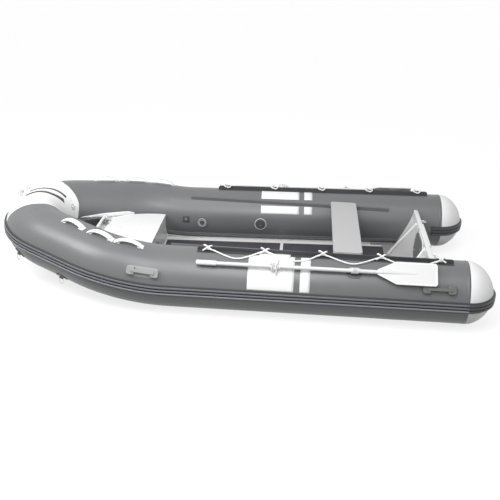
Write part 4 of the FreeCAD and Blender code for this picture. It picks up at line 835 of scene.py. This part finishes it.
def evenly(points, step):
    """Walks along a line at an even step."""
    out = [points[0].copy()]
    left = step
    for a, b in zip(points, points[1:]):
        span = (b - a).length
        walked = 0.0
        while walked + left <= span:
            walked += left
            out.append(a.lerp(b, walked / span))
            left = step
        left -= span - walked
    if (out[-1] - points[-1]).length > step / 4:
        out.append(points[-1].copy())
    return out


# Rope: the step along its line, its strands, their radius as a share of its diameter, and diameters to a turn
ROPE_STEP = 0.0026
STRANDS = 3
STRAND_SIDES = 7
STRAND_SHARE = 0.29
ROPE_LAY = 3.2


def smooth_line(name, points, step=ROPE_STEP):
    """Even steps along the smooth line of a route."""
    return evenly(line_points(route_curve(name, points)), step)


def frames_along(line):
    """Each point of a line with an upward and a sideways direction, carried along without a twist."""
    up = Vector((0, 0, 1))
    frames = []
    for i, point in enumerate(line):
        ahead = heading(line, i)
        up = (up - ahead * up.dot(ahead)).normalized()
        frames.append((point, up, ahead.cross(up)))
    return frames


def laid_rope(name, lines, diameter, body="boat"):
    """Ropes of twisted strands along lines, as one piece."""
    strand = diameter * STRAND_SHARE
    verts = []
    faces = []
    for line in lines:
        frames = frames_along(line)
        for k in range(STRANDS):
            faces += ring_faces(len(verts), len(frames), STRAND_SIDES)
            walked = 0.0
            for i, (point, first, second) in enumerate(frames):
                if i:
                    walked += (point - frames[i - 1][0]).length
                turn = 2 * math.pi * (walked / (diameter * ROPE_LAY) + k / STRANDS)
                out = first * math.cos(turn) + second * math.sin(turn)
                across = second * math.cos(turn) - first * math.sin(turn)
                centre = point + out * (diameter / 2 - strand)
                for j in range(STRAND_SIDES):
                    angle = 2 * math.pi * j / STRAND_SIDES
                    verts.append(centre + (out * math.cos(angle) + across * math.sin(angle)) * strand)
    return new_piece(name, verts, faces, "rope", body=body)


def lifeline(side, side_name):
    """The rope through the lacing strip's eyelets, in place of the frame's own lifeline, with its hitches."""
    points = [ROUTE.spot(station, degrees, rise, side) for station, degrees, rise in ROPE_ROUTE]
    line = smooth_line(side_name + "_lifeline_route", points)
    rope = laid_rope(side_name + "_lifeline_rope", [line], ROPE_DIAMETER)
    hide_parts(side_name + "_lifeline")
    hitches(side, side_name)


def hitches(side, side_name):
    """The crossed turns that hold the lifeline at its eyelets."""
    lines = []
    for i, station in enumerate(EYELET_STATIONS):
        for way, over in ((-1, 0.0), (1, HITCH_OVER)):
            points = [ROUTE.spot(station + along * way, degrees, rise + over, side)
                      for along, degrees, rise in HITCH]
            lines.append(smooth_line(f"{side_name}_hitch_{i}_{way}", points))
    return laid_rope(side_name + "_lifeline_hitches", lines, ROPE_DIAMETER)


# The lashing on the oar: from the pin along the shaft, for each turn, with steps to a turn
LASHING_TURNS = (0.486, 0.499, 0.511, 0.524, 0.536, 0.549)
LASHING_DIAMETER = 0.010
LASHING_STEPS = 12

# Its two crossing turns: their ends, steps, share of a turn, first angle, diameters off the coil, and hump
CROSSINGS = ((0.494, 0.560), (0.562, 0.498))
CROSSING_STEPS = 24
CROSSING_TURN = 0.9
CROSSING_START = -1.1
CROSSING_OUT = 0.86
CROSSING_HUMP = 0.0015

# Loops and tails of its knot: along the shaft, round the tube (negative is inboard), off the shaft's middle
LASHING_LOOPS = (
    ((0.518, 0.004, 0.026), (0.512, -0.012, 0.028), (0.500, -0.034, 0.013), (0.488, -0.052, -0.006),
     (0.497, -0.064, -0.016), (0.512, -0.054, -0.008), (0.520, -0.032, 0.012), (0.524, -0.008, 0.030)),
    ((0.526, 0.006, 0.031), (0.530, -0.012, 0.030), (0.540, -0.034, 0.012), (0.553, -0.050, -0.004),
     (0.566, -0.048, -0.006), (0.563, -0.030, 0.006), (0.548, -0.014, 0.022), (0.530, -0.004, 0.034)),
    ((0.516, 0.002, 0.030), (0.510, 0.016, 0.026), (0.505, 0.034, 0.010), (0.503, 0.046, -0.008),
     (0.507, 0.054, -0.022)),
)


def lashing_coil(reach):
    """The turns round the shaft, as places from the pin."""
    coil = []
    count = len(LASHING_TURNS) - 1
    for k in range(count * LASHING_STEPS + 1):
        low = min(k // LASHING_STEPS, count - 1)
        share = k / LASHING_STEPS - low
        along = LASHING_TURNS[low] * (1 - share) + LASHING_TURNS[low + 1] * share
        turn = 2 * math.pi * k / LASHING_STEPS
        coil.append((along, reach * math.sin(turn), reach * math.cos(turn)))
    return coil


def lashing_crossing(start, end, reach):
    """One long turn over the coil, as places from the pin."""
    crossing = []
    for k in range(CROSSING_STEPS + 1):
        share = k / CROSSING_STEPS
        turn = 2 * math.pi * share * CROSSING_TURN + CROSSING_START
        lift = reach + CROSSING_HUMP * math.sin(math.pi * share)
        crossing.append((start + (end - start) * share, lift * math.sin(turn), lift * math.cos(turn)))
    return crossing


def oar_lashing(side, side_name):
    """Turns of rope round the oar's shaft, with two crossing turns over them, loops and a tail."""
    seat = ROUTE.stand(OAR_STATION, OAR_DEGREES, side) @ Matrix.Translation((0, 0, OAR_STANDOFF))
    reach = SHAFT_RADIUS + LASHING_DIAMETER / 2
    runs = [lashing_coil(reach)]
    runs += [lashing_crossing(*ends, reach + LASHING_DIAMETER * CROSSING_OUT) for ends in CROSSINGS]
    lines = []
    for i, places in enumerate((*runs, *LASHING_LOOPS)):
        lines.append(smooth_line(f"{side_name}_lashing_{i}", [seat @ Vector(place) for place in places]))
    return laid_rope(side_name + "_oar_lashing", lines, LASHING_DIAMETER, side_name + "_oar")


# The white ridge on the knee's inboard edge: places on the starboard knee, from the transom down
KNEE_RIDGE = (
    (-1.337, 0.246, 0.352), (-1.305, 0.254, 0.302), (-1.279, 0.261, 0.264), (-1.252, 0.268, 0.226),
    (-1.225, 0.275, 0.189), (-1.198, 0.283, 0.150), (-1.168, 0.291, 0.104), (-1.142, 0.299, 0.062),
)
KNEE_RIDGE_RADIUS = 0.0105
KNEE_RIDGE_SIDES = 12
KNEE_RIDGE_STEP = 0.008
KNEE_RIDGE_END = 0.35


def knee_ridge(side, side_name):
    """A white rounded ridge laid along the knee's inboard edge."""
    points = [Vector((x, y * side, z)) for x, y, z in KNEE_RIDGE]
    line = smooth_line(side_name + "_knee_ridge_route", points, KNEE_RIDGE_STEP)
    verts = []
    for i, (point, up, over) in enumerate(frames_along(line)):
        radius = KNEE_RIDGE_RADIUS * (KNEE_RIDGE_END if i in (0, len(line) - 1) else 1.0)
        for j in range(KNEE_RIDGE_SIDES + 1):
            turn = 2 * math.pi * (j % KNEE_RIDGE_SIDES) / KNEE_RIDGE_SIDES
            verts.append(point + (up * math.cos(turn) + over * math.sin(turn)) * radius)
    faces = grid_faces(len(line), KNEE_RIDGE_SIDES + 1)
    return new_piece(side_name + "_knee_ridge", verts, faces, "transom_laminate", "hull_laminate")


def seated(name, start, way):
    """A frame standing on a piece of the frame, where a line from a place meets it."""
    mesh = frame["nodes"][name].data
    tree = BVHTree.FromPolygons([v.co for v in mesh.vertices], [tuple(p.vertices) for p in mesh.polygons])
    spot, normal = tree.ray_cast(Vector(start), Vector(way))[:2]
    if spot is None:
        raise RuntimeError(f"nothing of {name} lies that way from {tuple(start)}")
    up = normal.normalized()
    side = Vector((1, 0, 0) if abs(up.x) < 0.9 else (0, 1, 0)).cross(up).normalized()
    return Matrix.Translation(spot) @ Matrix((side, up.cross(side), up)).transposed().to_4x4()


# Screws: name, the piece they sit on, where to look for it from and which way, radius
SCREWS = (
    ("hinge_screws", "lid_hinges",
     [(1.058, y, 0.4) for y in (0.118, 0.142, -0.142, -0.118)], (0, 0, -1), 0.0032),
    ("inner_motor_pad_screws", "inner_motor_pad",
     [(-1.20, y, z) for y in (-0.118, 0.118) for z in (0.185, 0.285)], (-1, 0, 0), 0.006),
    ("outer_motor_pad_screws", "outer_motor_pad",
     [(-1.50, y, z) for y in (-0.118, 0.118) for z in (0.185, 0.285)], (1, 0, 0), 0.006),
)

# The air valves, fore and aft on each tube
VALVE_STATIONS = (1.440, 1.910)
VALVE_DEGREES = -91.0
VALVE_RIM = 0.007
RIM_RADIUS = 0.0346

# Radius and height pairs of the valves' wide flange and of the ribs on their caps
FLANGE_PROFILE = (
    (0.0485, -0.001), (0.0485, 0.0022), (0.047, 0.0034), (0.0435, 0.0034), (0.042, 0.0022), (0.042, -0.001),
)
CAP_RIBS = (
    (0.0175, 0.006), (0.0175, 0.009), (0.0165, 0.0112), (0.014, 0.0112), (0.012, 0.0091), (0.0005, 0.0091),
)

# From the rim's outer edge inwards, and over its top
RIM_PROFILE = (
    (0.0, -0.004), (0.0, 0.0), (0.0012, 0.0012), (0.0040, 0.0012), (0.0052, 0.0), (0.0052, -0.003),
)

# The square vent plate forward of each fore valve
VENT_STATION = 2.040
VENT_DEGREES = -85.0
VENT_EDGE = 0.0262
BUTTON_RADIUS = 0.0079
BUTTON_TOP = 0.0072


def vent_edges():
    """The dark glue line round each vent plate, and the pale top of its button."""
    turn = math.degrees(VENT_EDGE / TUBE_RADIUS)
    places = []
    for side, side_name in SIDES:
        tube_patch(side_name + "_vent_edge", side, (VENT_STATION - VENT_EDGE, VENT_STATION + VENT_EDGE),
                   (VENT_DEGREES - turn, VENT_DEGREES + turn), "valve_plastic", "dark_stripe")
        places.append(ROUTE.stand(VENT_STATION, VENT_DEGREES, side))
    button = ((BUTTON_RADIUS, BUTTON_TOP - 0.001), (BUTTON_RADIUS, BUTTON_TOP), (0.0002, BUTTON_TOP))
    lathe("vent_buttons", places, button, "valve_plastic", "fitting_rubber")


def valve_rings():
    """The pale ring on each fore valve's rim, the wider one round each aft valve, and their caps' ribs."""
    aft, fore = ([ROUTE.stand(station, VALVE_DEGREES, side) for side in (PORT, STARBOARD)]
                 for station in VALVE_STATIONS)
    rim = [(RIM_RADIUS - inwards, VALVE_RIM + up) for inwards, up in RIM_PROFILE]
    lathe("valve_rings", fore, rim, "valve_plastic", "valve_ring", 48)
    lathe("valve_flanges", aft, FLANGE_PROFILE, "valve_plastic", "valve_ring", 64, draped=True)
    lathe("valve_cap_ribs", aft + fore, CAP_RIBS, "valve_plastic")


# How bright the floor is to the camera and to the boat, and its own light where the camera sees it
FLOOR_SEEN = 0.30
FLOOR_UNSEEN = 0.15
FLOOR_GLOW = 0.78

# Even lights: name, where from, angle across, strength; and soft lamps: name, place, aim, size, power
SUNS = (
    ("Overhead light", (0.10, 0.42, 1.0), 24.0, "sun_strength"),
    ("Fill light", (-0.7, 1.0, 0.5), 60.0, "fill_strength"),
)
SOFT_LAMPS = (
    ("Key light", (3.0, 1.5, 3.0), (0.5, 0.2, 0.2), 1.5, "key_power"),
    ("Near light", (0.1, 2.7, 2.7), (-0.3, 0.7, 0.3), 1.6, "near_power"),
)


def seen_directly(tree):
    """1 for what the camera sees itself, or in a reflection or through glass."""
    path = tree.nodes.new("ShaderNodeLightPath").outputs
    return chained(tree, "MAXIMUM", path["Is Camera Ray"], path["Is Glossy Ray"], path["Is Transmission Ray"])


def floor(sizes):
    """The pale floor at the waterline."""
    half = sizes.floor_size / 2
    mesh = bpy.data.meshes.new("floor")
    corners = [(-half, -half, 0), (half, -half, 0), (half, half, 0), (-half, half, 0)]
    mesh.from_pydata(corners, [], [(0, 1, 2, 3)])
    ground = bpy.data.objects.new("floor", mesh)
    bpy.context.scene.collection.objects.link(ground)
    material = bpy.data.materials.new("Pale floor")
    material.use_nodes = True
    tree = material.node_tree
    shader = tree.nodes["Principled BSDF"]
    seen = seen_directly(tree)
    grey = plus(tree, times(tree, seen, FLOOR_SEEN - FLOOR_UNSEEN), FLOOR_UNSEEN)
    joined = tree.nodes.new("ShaderNodeCombineColor")
    for socket in list(joined.inputs)[:3]:
        tree.links.new(grey, socket)
    feed_all(tree, shader, {
        "Base Color": joined.outputs[0], "Roughness": 0.9, "Specular IOR Level": 0.1,
        "Emission Color": tuple(sizes.floor_colour), "Emission Strength": times(tree, seen, FLOOR_GLOW)})
    mesh.materials.append(material)


def sky(sizes):
    """An even light from all round, which is plain white where the camera sees it."""
    world = bpy.data.worlds.new("Studio")
    bpy.context.scene.world = world
    world.use_nodes = True
    tree = world.node_tree
    strength = feed_all(tree, tree.nodes.new("ShaderNodeMapRange"), {
        "Value": seen_directly(tree), "To Min": sizes.sky_strength, "To Max": 1.0})
    feed_all(tree, tree.nodes["Background"], {
        "Color": (1.0, 1.0, 1.0), "Strength": strength.outputs["Result"]})


def hung(name, kind, place, aim, energy):
    """The data of a lamp that hangs at a place and shines at another."""
    data = bpy.data.lights.new(name, kind)
    data.energy = energy
    lamp = bpy.data.objects.new(name, data)
    bpy.context.scene.collection.objects.link(lamp)
    lamp.location = place
    lamp.rotation_euler = (Vector(aim) - Vector(place)).to_track_quat("-Z", "Y").to_euler()
    return data


def lamps(sizes):
    """The even lights and the soft lamps."""
    for name, way, angle, strength in SUNS:
        hung(name, "SUN", way, (0, 0, 0), getattr(sizes, strength)).angle = math.radians(angle)
    for name, place, aim, size, power in SOFT_LAMPS:
        hung(name, "AREA", place, aim, getattr(sizes, power)).size = size


def camera():
    """The photograph's own camera: turned, tipped and rolled from a look along -Y."""
    data = bpy.data.cameras.new("Camera")
    data.sensor_width = SENSOR_MM
    data.lens = SENSOR_MM * FOCAL_PIXELS / PICTURE_PIXELS
    data.clip_end = CAMERA_REACH
    view = bpy.data.objects.new("Camera", data)
    bpy.context.scene.collection.objects.link(view)
    turned = Matrix.Rotation(math.pi + CAMERA_YAW, 4, "Z")
    tipped = Matrix.Rotation(math.pi / 2 + CAMERA_PITCH, 4, "X")
    rolled = Matrix.Rotation(CAMERA_ROLL, 4, "Z")
    view.matrix_world = Matrix.Translation(CAMERA_PLACE) @ turned @ tipped @ rolled
    bpy.context.scene.camera = view


def colour_choice(name, description, default):
    """A colour that a user would change."""
    return FloatVectorProperty(name=name, description=description, subtype="COLOR", default=default, min=0.0,
                               max=1.0)


class BoatSizes(bpy.types.PropertyGroup):
    """The colours and the light that a user would change."""

    tube_colour: colour_choice("Tube cloth", "Colour of the tubes' coated cloth", (0.166, 0.173, 0.175))
    white_colour: colour_choice("White parts", "Colour of the gelcoat and white cloth", (0.905, 0.905, 0.905))
    strake_colour: colour_choice("Strake rubber", "Colour of the rub strake's grooves", (0.070, 0.074, 0.080))
    tread_colour: colour_choice("Deck pads", "Colour of the non-skid deck pads", (0.085, 0.080, 0.092))
    seat_colour: colour_choice("Seat board", "Colour of the bench seat", (0.54, 0.54, 0.54))
    rope_colour: colour_choice("Ropes", "Colour of the lifelines and lashings", (0.97, 0.97, 0.96))
    floor_colour: colour_choice("Floor colour", "Colour of the floor's own light", (1.0, 1.0, 1.0))
    floor_size: FloatProperty(name="Floor size", description="Side of the floor", unit="LENGTH", default=60.0)
    key_power: FloatProperty(name="Key light", description="Power of the lamp off the bow", default=80.0)
    near_power: FloatProperty(name="Near light", description="Power of the lamp off the side", default=54.0)
    sun_strength: FloatProperty(name="Overhead light", description="Even light from above", default=0.62)
    fill_strength: FloatProperty(name="Fill light", description="Even light on the near side", default=0.38)
    sky_strength: FloatProperty(name="Sky", description="Even light from all round", default=0.38)


class BOAT_OT_stage(bpy.types.Operator):
    """Make the floor, lights and camera"""

    bl_idname = "boat.stage"
    bl_label = "Stage"

    def execute(self, context):
        sizes = context.scene.boat_sizes
        floor(sizes)
        sky(sizes)
        lamps(sizes)
        camera()
        context.scene.view_settings.view_transform = "Standard"
        return {"FINISHED"}


class BOAT_OT_ropes(bpy.types.Operator):
    """Lay the lifelines along the tubes and lash the oars"""

    bl_idname = "boat.ropes"
    bl_label = "Ropes"

    def execute(self, context):
        for side, side_name in SIDES:
            lifeline(side, side_name)
            oar_lashing(side, side_name)
        return {"FINISHED"}


class BOAT_OT_tubes(bpy.types.Operator):
    """Dress the air tubes, their cones, strakes, patches, tapes and stripes"""

    bl_idname = "boat.tubes"
    bl_label = "Tubes"

    def execute(self, context):
        dress(("nose_section",))
        dress_pairs(("tube", "stern_cone", "rub_strake"))
        for side, side_name in SIDES:
            for name, *rest in PATCHES:
                tube_patch(f"{side_name}_{name}", side, *rest)
            strake_highlights(side, side_name)
            name, *rest = LASHING_PAD
            tube_patch(f"{side_name}_{name}", side, *rest, PAD_THICKNESS, PAD_FOOT)
            locker_flange(side, side_name)
        for row in NOSE_EDGES:
            nose_edge(*row)
        for row in NOSE_STRIPES:
            nose_stripe(*row)
        return {"FINISHED"}


class BOAT_OT_moulding(bpy.types.Operator):
    """Dress the hull, deck, transom and bow locker"""

    bl_idname = "boat.moulding"
    bl_label = "Hull and deck"

    def execute(self, context):
        for name in ("deck", "bow_locker"):
            dress((name,), name)
        dress(("hull", "deck_pad_fore", "deck_pad_aft", "transom", "inner_motor_pad", "outer_motor_pad",
               "locker_lid", "lid_hinges", "locker_latch"))
        dress_pairs(("transom_knee",), "transom_knee")
        for side, side_name in SIDES:
            knee_ridge(side, side_name)
        for row in SCREWS:
            screws(*row)
        return {"FINISHED"}


class BOAT_OT_fittings(bpy.types.Operator):
    """Dress the seat, oars, handles, straps, valves and rings"""

    bl_idname = "boat.fittings"
    bl_label = "Fittings"

    def execute(self, context):
        dress(("bench_seat", "air_valves", "tow_rings", "tow_ring_patches", "mooring_eyes", "bow_handle"))
        for name in ("rowlock", "lacing_strip"):
            dress_pairs((name,), name)
        dress_pairs(("seat_rail", "oar_shaft", "oar_grip", "oar_blade", "carry_handles", "grab_straps"))
        valve_rings()
        vent_edges()
        return {"FINISHED"}


class BOAT_PT_panel(bpy.types.Panel):
    """The boat's steps, in order"""

    bl_label = "Boat"
    bl_idname = "BOAT_PT_panel"
    bl_space_type = "VIEW_3D"
    bl_region_type = "UI"
    bl_category = "Boat"

    def draw(self, context):
        for step in STEPS:
            self.layout.operator(step.bl_idname)
        for name in BoatSizes.__annotations__:
            self.layout.prop(context.scene.boat_sizes, name)


STEPS = (BOAT_OT_stage, BOAT_OT_ropes, BOAT_OT_tubes, BOAT_OT_moulding, BOAT_OT_fittings)
CLASSES = (BoatSizes, *STEPS, BOAT_PT_panel)


def register():
    """Puts the panel, its steps and its values into Blender."""
    for cls in CLASSES:
        bpy.utils.register_class(cls)
    bpy.types.Scene.boat_sizes = bpy.props.PointerProperty(type=BoatSizes)


def unregister():
    """Takes them out again."""
    del bpy.types.Scene.boat_sizes
    for cls in reversed(CLASSES):
        bpy.utils.unregister_class(cls)


def main():
    """Runs the steps in order."""
    register()
    bpy.ops.boat.stage()
    bpy.ops.boat.ropes()
    bpy.ops.boat.tubes()
    bpy.ops.boat.moulding()
    bpy.ops.boat.fittings()


if __name__ == "__main__":
    main()
